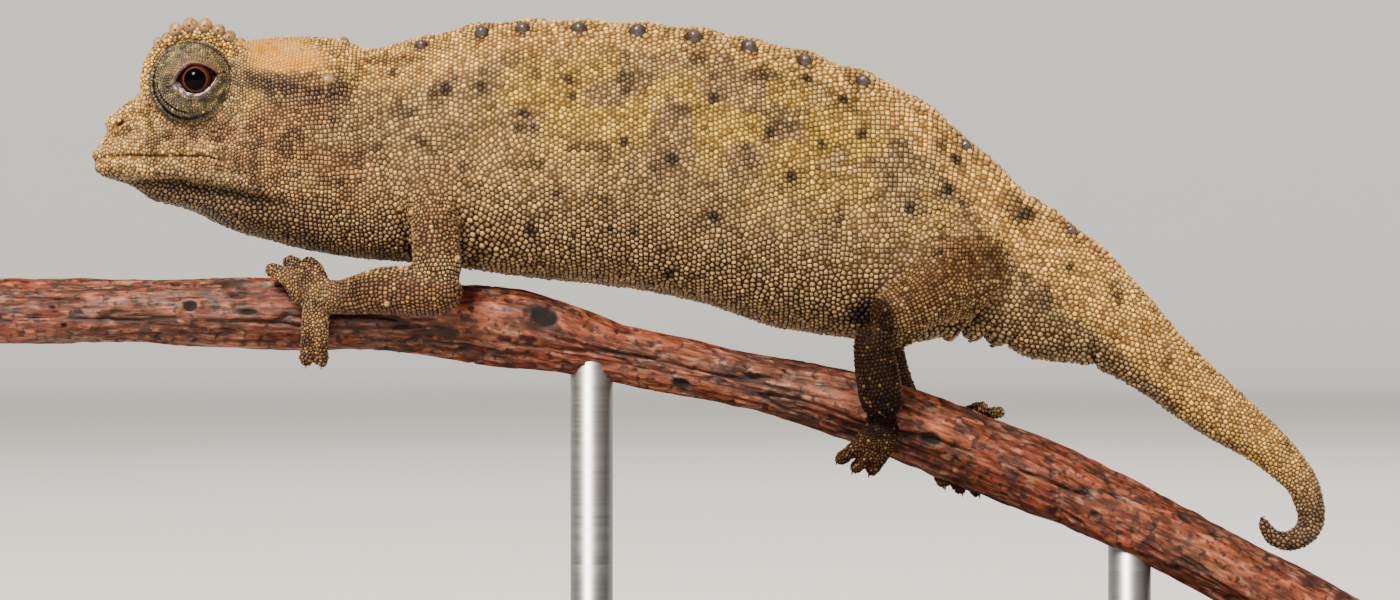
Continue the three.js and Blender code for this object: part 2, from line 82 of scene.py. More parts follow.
# Limbs as x, distance from the middle, z and radius, the animal's left side then its right. The
# hands' upper toes are set a little off those of the solids.
LIMBS = {
    -1: {
        "arm": [(17.3, 2.4, -1.4, 1.5), (17.75, 3.6, -3.9, 1.25), (17.95, 4.1, -7.0, 1.25)],
        "forearm": [(19.1, 4.15, -6.95, 1.1), (17.4, 4.0, -7.0, 1.3), (15.2, 3.6, -6.95, 1.25),
                    (13.2, 3.05, -7.25, 0.95), (11.8, 2.6, -7.3, 0.8)],
        "hand": {"palm": (11.65, 2.55, -7.45, 0.8),
                 "over": [(9.0, 1.3, -5.8, 0.4), (9.95, 1.15, -5.42, 0.4), (10.95, 1.1, -5.5, 0.4)],
                 "under": [(11.0, 1.75, -10.75, 0.42), (11.8, 1.75, -10.8, 0.42)]},
        "thigh": [(44.6, 2.0, -6.2, 2.0), (42.3, 3.5, -7.4, 1.6), (39.9, 4.15, -8.6, 1.0)],
        "shank": [(39.8, 4.15, -8.7, 0.95), (40.15, 3.8, -11.0, 1.15), (40.6, 3.1, -13.4, 1.1)],
        "foot": {"palm": (40.45, 2.75, -14.3, 0.95),
                 "over": [(40.0, 0.3, -10.65, 0.42), (40.9, 0.2, -10.9, 0.42)],
                 "under": [(38.2, 2.15, -15.7, 0.42), (39.0, 1.95, -16.2, 0.42),
                           (39.85, 1.85, -16.35, 0.42)]},
    },
    1: {
        "arm": [(17.3, 2.4, -1.4, 1.5), (17.3, 3.5, -3.7, 1.2), (17.3, 4.0, -6.5, 1.15)],
        "forearm": [(17.9, 4.0, -6.6, 1.1), (16.9, 3.6, -6.9, 1.15), (15.8, 3.0, -7.2, 0.95),
                    (14.9, 2.6, -7.3, 0.75)],
        "hand": {"palm": (14.8, 2.55, -7.5, 0.75),
                 "over": [(13.9, 0.9, -6.35, 0.4), (14.7, 0.8, -6.3, 0.38), (15.5, 0.9, -6.35, 0.38)],
                 "under": [(14.1, 2.2, -9.75, 0.42), (14.9, 2.2, -9.8, 0.42)]},
        "thigh": [(44.6, 2.0, -6.2, 2.0), (42.8, 3.5, -7.4, 1.6), (40.9, 4.15, -8.9, 1.0)],
        "shank": [(40.8, 4.15, -8.95, 0.95), (41.3, 3.8, -11.4, 1.05), (42.4, 3.1, -13.9, 0.95)],
        "foot": {"palm": (43.5, 2.85, -14.7, 0.85),
                 "over": [(46.0, 0.9, -12.95, 0.37), (46.95, 0.9, -13.2, 0.37)],
                 "under": [(44.0, 2.0, -17.2, 0.4), (44.9, 1.95, -17.5, 0.4),
                           (45.8, 2.1, -17.6, 0.4)],
                 "reach": 0.6},
    },
}
TWIG = np.array([
    (-5.9, -8.1, 1.8), (2.0, -8.05, 1.76), (9.0, -8.1, 1.84), (16.0, -8.35, 1.86),
    (21.9, -8.9, 2.12), (27.0, -10.15, 1.52), (33.0, -11.4, 1.5), (39.0, -12.85, 1.85),
    (46.5, -15.6, 2.0), (52.0, -18.1, 1.8), (60.0, -22.1, 1.92), (66.8, -25.8, 1.92),
])
BASE = {"length": 62.0, "width": 30.0, "thick": 3.0, "corner": 6.0, "bevel": 0.4}

# ---- Small tools -------------------------------------------------------------------------------


def unit(vectors):
    """Vectors of length 1."""
    return vectors / np.maximum(np.linalg.norm(vectors, axis=-1, keepdims=True), 1e-12)


def smooth(value, low, high):
    """0 below low, 1 above high and 3t^2 - 2t^3 between."""
    t = np.clip((value - low) / (high - low), 0, 1)
    return t * t * (3 - 2 * t)


def bell(distance, width):
    """1 at no distance, falling off as exp(-(distance / width)^2)."""
    return np.exp(-((distance / width) ** 2))


def turned_from(angle, degrees):
    """An angle in radians counted from a direction in degrees, from -pi to pi."""
    return np.angle(np.exp(1j * (angle - math.radians(degrees))))


def bricks(number, row, length):
    """Even places along a length, shifted half a step in every second row, as bricks are laid."""
    return (np.arange(number) + 0.5 * (row % 2)) * length / number


def blend(a, b, share):
    """a where share is 0 and b where it is 1."""
    return a + (b - a) * share


LATTICE = np.random.default_rng(11).random((32, 32, 32))


def noise(points, size):
    """Smooth noise from 0 to 1: random values on a lattice size mm apart, blended along each axis."""
    place = points / size + 53.7
    low = np.floor(place).astype(int)
    t = place - low
    t = t * t * (3 - 2 * t)
    total = 0
    for corner in itertools.product((0, 1), repeat=3):
        weight = np.prod(np.where(corner, t, 1 - t), axis=-1)
        i, j, k = np.moveaxis((low + corner) % 32, -1, 0)
        total = total + weight * LATTICE[i, j, k]
    return total


def through(rows, t):
    """The smooth curve through rows of values at shares t of its length in rows: cubic pieces whose
    slope at a row is half the step between its neighbours, with one straight step added at each end."""
    rows = np.asarray(rows, float)
    more = np.vstack([2 * rows[0] - rows[1], rows, 2 * rows[-1] - rows[-2]])
    place = np.clip(np.asarray(t, float), 0, 1) * (len(rows) - 1)
    i = np.minimum(place.astype(int), len(rows) - 2)
    w = (place - i)[..., None]
    a, b, c, d = more[i], more[i + 1], more[i + 2], more[i + 3]
    m, n = (c - a) / 2, (d - b) / 2
    return b + m * w + (3 * (c - b) - 2 * m - n) * w**2 + (2 * (b - c) + m + n) * w**3


def pairs_within(points, reach):
    """Every pair of points nearer than reach, both ways round, and their distance: the points are
    sorted into cubes reach wide, and each is compared with those in its own cube and the 26 round it."""
    cell = np.floor((points - points.min(0)) / reach).astype(np.int64) + 1
    span = cell.max(0) + 2
    key = (cell[:, 0] * span[1] + cell[:, 1]) * span[2] + cell[:, 2]
    order = np.argsort(key, kind="stable")
    ordered = key[order]
    firsts, seconds, gaps = [], [], []
    for a, b, c in itertools.product((-1, 0, 1), repeat=3):
        wanted = key + (a * span[1] + b) * span[2] + c
        low = np.searchsorted(ordered, wanted, "left")
        count = np.searchsorted(ordered, wanted, "right") - low
        first = np.repeat(np.arange(len(points)), count)
        inside = np.arange(count.sum()) - np.repeat(np.cumsum(count) - count, count)
        second = order[np.repeat(low, count) + inside]
        gap = np.linalg.norm(points[first] - points[second], axis=1)
        near = (gap < reach) & (first != second)
        firsts.append(first[near])
        seconds.append(second[near])
        gaps.append(gap[near])
    return np.concatenate(firsts), np.concatenate(seconds), np.concatenate(gaps)


def path_distance(points, path):
    """How far flat points (x, z) are from a line through places, and how far along it, from 0 to 1."""
    path = np.asarray(path, float)
    start, step = path[:-1], np.diff(path, axis=0)
    length = np.linalg.norm(step, axis=1)
    before = np.concatenate([[0], np.cumsum(length)[:-1]])
    offset = points[:, None, :] - start
    share = np.clip((offset * step).sum(2) / length**2, 0, 1)
    gap = np.linalg.norm(offset - share[..., None] * step, axis=2)
    nearest = gap.argmin(1)
    row = np.arange(len(points))
    along = (before[nearest] + share[row, nearest] * length[nearest]) / length.sum()
    return gap[row, nearest], along


def side_gap(points, place):
    """How far points are from a place (x, z) in the side view."""
    return np.hypot(points[:, 0] - place[0], points[:, 2] - place[1])


# ---- Closed surfaces and pieces ----------------------------------------------------------------


def ring_quads(rings, sides):
    """The quads between rings of points that are counted ring by ring."""
    a = np.arange(rings - 1)[:, None] * sides + np.arange(sides)
    b = np.arange(rings - 1)[:, None] * sides + (np.arange(sides) + 1) % sides
    return np.stack([a, b, b + sides, a + sides], axis=-1).reshape(-1, 4)


def closed_grid(points):
    """A closed shell from rings of points (rings, sides, 3): quads between rings and a fan to the
    middle of each end ring, turned to face outwards."""
    rings, sides, _ = points.shape
    quads = ring_quads(rings, sides)
    every = np.vstack([points.reshape(-1, 3), points[0].mean(0), points[-1].mean(0)])
    first, last = len(every) - 2, len(every) - 1
    around, following = np.arange(sides), (np.arange(sides) + 1) % sides
    end = (rings - 1) * sides
    fans = np.vstack([
        np.stack([np.full(sides, first), following, around], axis=1),
        np.stack([np.full(sides, last), end + around, end + following], axis=1),
    ])
    return facing_out(every, quads, fans)


def facing_out(points, quads, fans):
    """The same shell with every face turned round if its volume came out negative."""
    triangles = np.vstack([quads[:, :3], quads[:, [0, 2, 3]], fans])
    a, b, c = (points[triangles[:, k]] for k in range(3))
    if (a * np.cross(b, c)).sum() < 0:
        quads, fans = quads[:, ::-1], fans[:, ::-1]
    return points, quads, fans


def joined(shells):
    """Several shells as one."""
    points, quads, fans, start = [], [], [], 0
    for p, q, f in shells:
        points.append(p)
        quads.append(q + start)
        fans.append(f + start)
        start += len(p)
    return np.vstack(points), np.vstack(quads), np.vstack(fans)


def mesh_of(name, points, *faces):
    """A mesh with those points and arrays of faces."""
    mesh = bpy.data.meshes.new(name)
    faces = [f for f in faces if len(f)]
    corners = np.concatenate([f.ravel() for f in faces])
    starts = np.concatenate([np.full(len(f), f.shape[1]) for f in faces])
    starts = np.cumsum(starts) - starts
    mesh.vertices.add(len(points))
    mesh.vertices.foreach_set("co", points.astype(np.float32).ravel())
    mesh.loops.add(len(corners))
    mesh.loops.foreach_set("vertex_index", corners.astype(np.int32))
    mesh.polygons.add(len(starts))
    mesh.polygons.foreach_set("loop_start", starts.astype(np.int32))
    mesh.update(calc_edges=True)
    return mesh


KINDS = {1: ("FLOAT", "value"), 3: ("FLOAT_VECTOR", "vector"), 4: ("FLOAT_COLOR", "color")}


def piece(name, shell, material, marks=None, replaces=()):
    """A finished piece of the model: the shell in metres in the row frame, with its material, its
    attributes by name, and what it stands for. It rides on the one body."""
    points, quads, fans = shell
    mesh = mesh_of(name, (points + SNOUT) * MM, quads, fans)
    for key, values in (marks or {}).items():
        width = 1 if values.ndim == 1 else values.shape[1]
        kind, field = KINDS[width]
        mesh.attributes.new(key, kind, "POINT").data.foreach_set(
            field, values.astype(np.float32).ravel()
        )
    mesh.shade_smooth()
    mesh.materials.append(material)
    made = bpy.data.objects.new(name, mesh)
    bpy.context.scene.collection.objects.link(made)
    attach(made, "root")
    if replaces:
        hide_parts(*replaces)
    return made


# ---- The body's shape --------------------------------------------------------------------------


def body_rows():
    """Every cross-section from snout to tail tip: the table, then the curl, which is an arc about
    its centre that narrows, then the tip."""
    share = np.linspace(0, 1, 5)
    angle = np.append(blend(*CURL["turn"], share), CURL["turn"][1] + 16)
    radius = np.append(blend(*CURL["radius"], share), CURL["radius"][1])
    thick = np.append(blend(*CURL["thick"], share), 0.08)
    turn = np.radians(angle)
    return np.vstack([BODY, np.stack([
        CURL["x"] + radius * np.cos(turn),
        CURL["z"] - radius * np.sin(turn),
        np.append(90 + angle[:-1], 90 + angle[-2] + 16),
        thick,
        thick,
    ], axis=1)])


ROWS = body_rows()
FINE = np.linspace(0, 1, 1600)  # shares of the body's length at which its line is known
LINE = through(ROWS, FINE)  # x, z, lean, deep, wide at each
ALONG = np.concatenate([[0], np.cumsum(np.hypot(*np.diff(LINE[:, :2], axis=0).T))])  # mm along it
BEFORE_CURL = slice(0, 1200)  # the part of the line where x only grows
AT_ONCE = 20000  # points worked on together, to spare memory


def section_shape(x):
    """How bottom-heavy and how square the section is at x."""
    trunk, tail = smooth(x, *NECK), smooth(x, *TAIL)
    return [
        blend(blend(HEAD_SECTION[k], TRUNK_SECTION[k], trunk), TAIL_SECTION[k], tail)
        for k in range(2)
    ]


def squared(value, power):
    """A sine or cosine to a power below 1, with its sign kept, squares the section's corners."""
    return np.sign(value) * np.abs(value) ** power


def body_at(t, angle, grow=0.0):
    """The body's surface: at share t of its stations, going round by angle from the top."""
    x, z, lean, deep, wide = np.moveaxis(through(ROWS, t), -1, 0)
    taper, roundness = section_shape(x)
    up = (deep + grow) * squared(np.cos(angle), roundness)
    across = (wide + grow) * squared(np.sin(angle), roundness) * (1 - taper * np.cos(angle))
    tip = np.radians(lean)
    return np.stack([x + up * np.sin(tip), across, z + up * np.cos(tip)], axis=-1)


def body_place(points):
    """For points near the body: how far along it they are in mm, how high on the section from -1
    to 1, and the share of stations. The section is the one whose plane is nearest."""
    lean = np.radians(LINE[:, 2])
    found = np.empty(len(points), int)
    for start in range(0, len(points), AT_ONCE):
        offset = points[start:start + AT_ONCE, None, ::2] - LINE[:, :2]
        plane = np.abs(offset[..., 0] * np.cos(lean) - offset[..., 1] * np.sin(lean))
        found[start:start + AT_ONCE] = (plane + 0.1 * np.hypot(*np.moveaxis(offset, -1, 0))).argmin(1)
    offset = points[:, ::2] - LINE[found, :2]
    up = offset[:, 0] * np.sin(lean[found]) + offset[:, 1] * np.cos(lean[found])
    return ALONG[found], up / LINE[found, 3], FINE[found]


def tube(places, rings, sides, grow=0.0):
    """A limb or toe through (x, y, z, radius) places: circles square to the smooth curve through
    them, drawn in to a quarter at the ends as the side of a ball."""
    places = np.asarray(places, float)
    t = np.linspace(0, 1, rings)
    centre = through(places, t)
    forward = unit(through(places, t + 1e-3)[:, :3] - through(places, t - 1e-3)[:, :3])
    length = np.linalg.norm(np.diff(through(places, np.linspace(0, 1, 60))[:, :3], axis=0), axis=1).sum()
    radius = np.maximum(centre[:, 3], 0.05)
    reach = np.clip(np.minimum(t, 1 - t) * length / radius, 0, 1)
    radius = np.maximum(0.25, np.sqrt(1 - (1 - reach) ** 2)) * radius + grow
    side = unit(np.cross((0, 1, 0), forward))
    up = np.cross(forward, side)
    angle = np.linspace(0, 2 * np.pi, sides, endpoint=False)
    circle = side[:, None] * np.sin(angle)[:, None] + up[:, None] * np.cos(angle)[:, None]
    return centre[:, None, :3] + radius[:, None, None] * circle


def ball(centre, half, rings=20, sides=28):
    """An ellipsoid in rings about the y axis."""
    down = np.linspace(0.05, np.pi - 0.05, rings)[:, None]
    angle = np.linspace(0, 2 * np.pi, sides, endpoint=False)
    shape = np.stack(np.broadcast_arrays(
        np.sin(down) * np.cos(angle), np.cos(down), np.sin(down) * np.sin(angle)), axis=-1)
    return np.asarray(centre) + np.asarray(half) * shape


def toes(hand, side, which):
    """The toes of one bundle, from the palm over a bowed knuckle to the tip, with a web between
    each two, as rows of (x, y, z, radius)."""
    palm = np.array(hand["palm"]) * (1, side, 1, 1)
    tips = np.array(hand[which]) * (1, side, 1, 1)
    reach = hand.get("reach", 0)
    bow = np.array((reach, side * 0.25, 0.45) if which == "over" else (0, side * 0.35, -0.1))
    spread = (tips[:, :3] - tips[:, :3].mean(0)) * 0.6 * (1, 0, 1)
    tips[:, 3] *= 0.95 if which == "over" else 0.88
    root = np.column_stack([palm[:3] + spread, tips[:, 3] * 1.25])
    knuckle = np.column_stack([(root[:, :3] + tips[:, :3]) / 2 + bow, tips[:, 3] * 1.05])
    digits = [np.array(rows) for rows in zip(root, knuckle, tips)]
    webs = []
    for a, b in zip(digits[:-1], digits[1:]):
        web = (a + b) / 2
        web[2, :3] = blend(web[1, :3], web[2, :3], 0.28)
        web[:, 3] *= (0.9, 0.7, 0.5)
        webs.append(web)
    return digits, webs


# ---- The skin ----------------------------------------------------------------------------------

# Where the skin's mesh is cut finer: head, hands and feet, as a centre, how much finer and how wide.
DETAIL = [
    ((3.6, 0.0, 1.4), 1.15, 6.0), ((10.5, -2.0, -7.9), 1.2, 2.0), ((14.8, 1.6, -7.9), 0.6, 1.8),
    ((39.7, -2.0, -15.2), 1.2, 2.0), ((44.9, 2.0, -15.6), 0.6, 2.0),
]
KNOWN = np.linspace(0, 120, 12001)  # distances in mm for which a swelling is worked out


def swollen(points, centre, amount, reach, back):
    """Points moved away from a centre, from r to r + amount r / (1 + (r / reach)^2), or back again."""
    offset = points - centre
    r = np.linalg.norm(offset, axis=1)
    moved = KNOWN + amount * KNOWN / (1 + (KNOWN / reach) ** 2)
    new = np.interp(r, moved, KNOWN) if back else np.interp(r, KNOWN, moved)
    return centre + offset * (new / np.maximum(r, 1e-9))[:, None]


def magnified(points, back=False):
    """Swells each detailed place in turn, so that even cubes there cut it more finely, or undoes it."""
    steps, centres = [], np.array([row[0] for row in DETAIL])
    for k, (_, amount, reach) in enumerate(DETAIL):
        steps.append((centres[k].copy(), amount, reach))
        centres = swollen(centres, *steps[-1], False)
    for step in reversed(steps) if back else steps:
        points = swollen(points, *step, back)
    return points


BROW_KNOBS = (  # degrees round the eye's brow from the rear, half width and how far out the tip is
    (31, 0.18, 2.96), (43, 0.22, 3.06), (55.5, 0.28, 3.16), (68.5, 0.33, 3.26), (82.5, 0.39, 3.38),
    (97.5, 0.40, 3.41), (112.5, 0.36, 3.34), (124, 0.20, 3.10), (134, 0.27, 3.19), (146, 0.19, 3.03),
    (157, 0.18, 2.99), (168, 0.18, 2.98), (179, 0.18, 2.97), (190, 0.17, 2.93), (200, 0.16, 2.90),
)


def flesh():
    """The shells that the skin wraps: the body, the brows, orbits and nostrils, and the limbs."""
    t = np.linspace(0, 1, 420)[:, None]
    angle = np.linspace(0, 2 * np.pi, 110, endpoint=False)
    arc = np.radians(np.linspace(204, 20, BROW_STEPS))
    swell = 0.30 + 0.12 * np.sin(np.linspace(0, np.pi, BROW_STEPS))
    grids = [
        body_at(t, angle, -COAT),
        ball((0.27, 0, 0.06), (0.46, 0.86, 0.30)),  # the lips' ends
        ball((0.42, 0, -0.50), (0.44, 0.86, 0.42)),
    ]
    for side in (-1, 1):
        brow = np.stack([
            BROW[0] + BROW_RADIUS * np.cos(arc), np.full(BROW_STEPS, side * BROW[1]),
            BROW[2] + BROW_RADIUS * np.sin(arc), swell,
        ], axis=1)
        grids += [tube(brow, 90, 20), ball((EYE[0], side * 1.55, EYE[2]), (2.72, 1.6, 2.62))]
        for degrees, wide, out in BROW_KNOBS:
            turn = math.radians(degrees)
            steps = ((2.3, 1.0), (2.7, 0.9), (out - 0.22, 0.45))
            grids.append(tube([
                (BROW[0] + r * math.cos(turn), side * (BROW[1] + 0.12 * k),
                 BROW[2] + r * math.sin(turn), wide * share)
                for k, (r, share) in enumerate(steps)], 18, 14))
        grids += [
            ball((1.25, side * 0.80, 1.66), (0.60, 0.5, 0.54)),  # nostril and the ridge behind it
            tube([(1.3, side * 0.75, 1.72, 0.5), (2.1, side * 1.15, 2.32, 0.52),
                  (3.1, side * 1.6, 2.5, 0.6)], 20, 18),
            ball((41.35, side * 3.55, -8.7), (1.2, 0.8, 1.08)),  # knee, hip and shoulder
            ball((43.7, side * 2.2, -5.5), (3.3, 1.75, 3.0)),
            ball((17.5, side * 2.35, -1.5), (2.3, 1.25, 2.3)),
        ]
        limbs = LIMBS[side]
        for name in ("arm", "forearm", "thigh", "shank"):
            places = np.array(limbs[name]) * (1, side, 1, 1)
            grids.append(tube(places, 60, 36, -LIMB_COAT))
        for name in ("hand", "foot"):
            palm = np.array(limbs[name]["palm"]) * (1, side, 1, 1)
            grids.append(ball(palm[:3], palm[3] * np.array([1, 0.8, 1.1]) - TOE_COAT))
            for which in ("over", "under"):
                digits, webs = toes(limbs[name], side, which)
                grids += [tube(places, 40, 20, -TOE_COAT) for places in digits + webs]
    return joined([closed_grid(grid) for grid in grids])


def wrapped(shell, voxel):
    """One closed skin round everything in the shell, as quads about voxel mm wide."""
    points, quads, fans = shell
    mesh = mesh_of("flesh", magnified(points), quads, fans)
    block = bpy.data.objects.new("flesh", mesh)
    bpy.context.scene.collection.objects.link(block)
    wrap = block.modifiers.new("wrap", "REMESH")
    wrap.mode = "VOXEL"
    wrap.voxel_size = voxel
    wrap.adaptivity = 0
    bpy.context.view_layer.update()
    ready = block.evaluated_get(bpy.context.evaluated_depsgraph_get()).data
    co = np.empty(len(ready.vertices) * 3, np.float32)
    ready.vertices.foreach_get("co", co)
    corners = np.empty(len(ready.loops), np.int32)
    ready.loops.foreach_get("vertex_index", corners)
    bpy.data.objects.remove(block)
    bpy.data.meshes.remove(mesh)
    return magnified(co.reshape(-1, 3).astype(float), True), corners.reshape(-1, 4)


def smoothed(points, quads, shares, weight=1.0):
    """Evens the skin out: in each round every vertex moves by a share, times its weight, of the way
    to the mean of its neighbours. A share below 0 moves it out again, so that it doesn't shrink."""
    edges = np.vstack([quads[:, [k, (k + 1) % 4]] for k in range(4)])
    edges = np.unique(np.sort(edges, axis=1), axis=0)
    count = np.bincount(edges.ravel(), minlength=len(points))[:, None]
    for share in shares:
        total = np.stack([
            np.bincount(edges[:, 0], points[edges[:, 1], k], len(points))
            + np.bincount(edges[:, 1], points[edges[:, 0], k], len(points))
            for k in range(3)
        ], axis=1)
        points = points + share * weight * (total / count - points)
    return points


def joint_share(points):
    """1 where a limb grows out of the body and 0 elsewhere: there the skin is drawn smooth."""
    hip = bell(np.linalg.norm((points - (43.4, 0, -5.9)) * (1, 0.25, 1), axis=1), 2.1)
    shoulder = bell(np.linalg.norm((points - (17.5, 0, -2.0)) * (1, 0.25, 1), axis=1), 1.5)
    return (np.maximum(hip, shoulder) * smooth(np.abs(points[:, 1]), 1.0, 2.0))[:, None]


def vertex_normals(points, quads):
    """Each vertex's normal: the sum of the areas and directions of the quads round it."""
    a, b, c, d = (points[quads[:, k]] for k in range(4))
    across = np.cross(c - a, d - b)
    total = np.stack([
        sum(np.bincount(quads[:, k], across[:, axis], len(points)) for k in range(4))
        for axis in range(3)
    ], axis=1)
    return unit(total)


# Creases on both sides of the animal: how deep, how wide, how high the lips beside them, whether
# scales stay out of them, and their path in x and z.
CREASES = {
    "mouth": (0.13, 0.075, 0.05, True, [
        (0.0, -0.13), (0.7, -0.02), (1.7, 0.02), (3.1, -0.05), (4.7, -0.05), (6.1, -0.09),
        (7.0, -0.36), (7.6, -0.85)]),
    "under the jaw": (0.30, 0.34, 0.12, False, [
        (0.6, -1.0), (1.7, -1.5), (3.0, -1.45), (4.4, -1.45), (5.6, -1.75), (7.4, -2.05),
        (8.6, -2.3), (9.8, -2.6), (10.9, -2.52)]),
    "corner of the jaw": (0.10, 0.16, 0.04, False, [
        (6.3, -0.65), (7.2, -0.95), (8.2, -1.05), (9.0, -1.5)]),
    "under the nostril": (0.16, 0.20, 0.03, False, [(0.2, 0.82), (0.8, 1.0), (1.6, 1.0), (2.3, 1.5)]),
    "cheek, first": (0.055, 0.10, 0.03, False, [
        (4.9, 0.98), (5.8, 0.86), (6.7, 1.15), (7.5, 1.8), (7.9, 2.5)]),
    "cheek, second": (0.05, 0.09, 0.03, False, [(6.2, 0.38), (7.2, 0.7), (7.8, 1.35)]),
    "cheek, third": (0.05, 0.09, 0.03, False, [(7.9, 0.1), (8.6, 0.9), (8.8, 1.9)]),
    "throat": (0.30, 0.12, 0.08, False, [(15.75, -2.4), (16.0, -3.5), (16.3, -4.7), (16.55, -5.6)]),
    "front of the shoulder": (0.14, 0.30, 0.05, False, [
        (15.3, 0.2), (15.0, -1.0), (15.4, -2.2), (15.8, -2.9)]),
    "armpit": (0.20, 0.16, 0.05, False, [(18.95, -2.6), (19.15, -3.4), (19.35, -4.6)]),
    "behind the arm, first": (0.12, 0.12, 0.05, False, [(19.7, -2.6), (19.8, -3.5), (19.9, -4.6)]),
    "behind the arm, second": (0.10, 0.12, 0.05, False, [(20.4, -2.9), (20.5, -3.8), (20.5, -4.6)]),
    "behind the shoulder": (0.12, 0.35, 0.04, False, [(18.6, -1.2), (19.6, -1.9), (20.9, -2.4)]),
    "groin": (0.08, 0.45, 0.04, False, [(40.7, -7.5), (41.6, -6.6), (42.6, -5.6)]),
    "hip, first": (0.11, 0.13, 0.05, False, [(42.0, -4.1), (43.6, -3.75), (45.0, -4.4)]),
    "hip, second": (0.11, 0.12, 0.05, False, [(42.6, -5.4), (43.9, -4.9), (45.3, -5.4)]),
    "hip, third": (0.09, 0.12, 0.05, False, [(41.6, -3.2), (43.4, -2.9), (44.9, -3.3)]),
    "tail root": (0.13, 0.30, 0.05, False, [(46.3, -1.5), (47.6, -3.5), (49.4, -6.4), (51.0, -9.0)]),
    "vent, first": (0.30, 0.14, 0.05, False, [(44.0, -10.0), (44.9, -8.9), (45.9, -7.7)]),
    "vent, second": (0.30, 0.13, 0.05, False, [(45.3, -10.6), (45.9, -9.3), (46.6, -8.3)]),
    "vent, third": (0.24, 0.13, 0.05, False, [(46.6, -10.8), (47.0, -9.8), (47.6, -9.0)]),
    "vent, last": (0.22, 0.22, 0.05, False, [(51.6, -11.9), (51.5, -10.4), (51.2, -9.4)]),
}
# Low ridges: how high, how wide and their path.
RIDGES = {
    "temple": (0.16, 0.30, [(7.7, 4.7), (9.1, 3.75), (10.9, 3.35), (12.5, 3.35), (13.5, 4.0)]),
    "crown edge": (0.12, 0.30, [(8.0, 5.9), (9.6, 5.95), (11.2, 5.75), (12.7, 5.6)]),
    "upper lip": (0.07, 0.20, [(0.5, 0.28), (2.0, 0.35), (4.5, 0.3), (6.4, 0.2)]),
    "lower lip": (0.06, 0.18, [(0.5, -0.42), (2.0, -0.4), (4.5, -0.45), (6.6, -0.6)]),
    "lower jaw": (0.14, 0.34, [(0.8, -0.75), (3.0, -0.7), (5.6, -1.0), (7.8, -1.4), (9.6, -1.9)]),
    "ear swelling": (0.22, 1.1, [(9.4, 0.4), (10.6, 0.9)]),
    "throat pouch": (0.20, 0.9, [(6.5, -3.2), (9.5, -3.9), (12.5, -4.4)]),
    "vent fold, first": (0.30, 0.24, [(43.5, -10.0), (44.4, -8.8)]),
    "vent fold, second": (0.32, 0.24, [(44.6, -10.5), (45.4, -9.1)]),
    "vent fold, third": (0.32, 0.24, [(45.9, -10.8), (46.5, -9.3)]),
    "vent swelling": (0.42, 0.80, [(47.3, -10.8), (48.3, -10.2), (50.2, -10.8)]),
}
NOSTRIL = (1.45, 1.62, 0.26, 0.13, 24.0)  # x, z, half length, half height and tilt in degrees


def folds(points):
    """How far the skin stands out of or into the smooth form, and how deep it lies in a crease or
    the nostril from 0 to 1, by which its colour is later darkened as painted shade. A crease is
    -depth exp(-(d / width)^2) at distance d from its path, with a low lip each side, and it fades in
    and out along the path. Ridges are low bells about theirs."""
    out = np.zeros(len(points))
    deep = np.zeros(len(points))
    bare = np.zeros(len(points), bool)
    flat = points[:, ::2]
    flank = smooth(np.abs(points[:, 1]), 0.05, 0.5)
    for name, (depth, width, lip, keep_out, path) in CREASES.items():
        gap, along = path_distance(flat, path)
        fade = smooth(along, -0.02, 0.2) * smooth(1 - along, -0.02, 0.2)
        fade = fade * (1 if name.startswith("vent") else flank)
        cut = bell(gap, width) * fade
        out += -depth * cut + lip * bell(gap - 1.9 * width, 0.8 * width) * fade
        deep = np.maximum(deep, cut * min(1, depth / 0.2))
        bare |= keep_out & (gap < 0.55 * width) & (fade > 0.4)
    for name, (height, width, path) in RIDGES.items():
        gap, along = path_distance(flat, path)
        fade = smooth(along, -0.3, 0.25) * smooth(1 - along, -0.3, 0.25)
        fade = fade * (1 if name.startswith("vent") else flank)
        out += height * bell(gap, width) * fade
    tilt = math.radians(NOSTRIL[4])
    u, w = flat[:, 0] - NOSTRIL[0], flat[:, 1] - NOSTRIL[1]
    pit = np.hypot((u * math.cos(tilt) + w * math.sin(tilt)) / NOSTRIL[2],
                   (w * math.cos(tilt) - u * math.sin(tilt)) / NOSTRIL[3])
    pit = np.where(np.abs(points[:, 1]) > 0.5, pit, 9.0)
    hole = 1 - smooth(pit, 0.5, 1.25)
    out += -0.30 * hole + 0.07 * bell(pit - 1.9, 0.6)
    deep = np.maximum(deep, hole)
    bare |= pit < 1.25
    return out, deep, bare


VERTEBRA = 2.9  # mm from one to the next


def back_waves(points, along, up):
    """The back's outline is drawn in by 0.14 mm and rises 0.16 mm again over each vertebra, and the
    whole skin has soft lumps a few millimetres wide."""
    over_trunk = smooth(points[:, 0], 14, 19) * (1 - smooth(points[:, 0], 47, 54))
    wave = 0.5 - 0.5 * np.cos(2 * np.pi * (along - 1.3) / VERTEBRA)
    crest = smooth(up, 0.80, 0.99) * over_trunk * (0.16 * wave - 0.14)
    lumps = 0.16 * (noise(points, 2.6) - 0.5) + 0.08 * (noise(points + 9, 1.1) - 0.5)
    edge = np.minimum(1, np.interp(points[:, 0], [0, 4, 50, 64], [0.2, 0.6, 1, 0.3]))
    return crest + lumps * edge


def turret_gap(points):
    """Distance from the axis of the nearer eye turret, for points on the side of the head."""
    return np.where(np.abs(points[:, 1]) > 1.2, side_gap(points, EYE[::2]), 99.0)


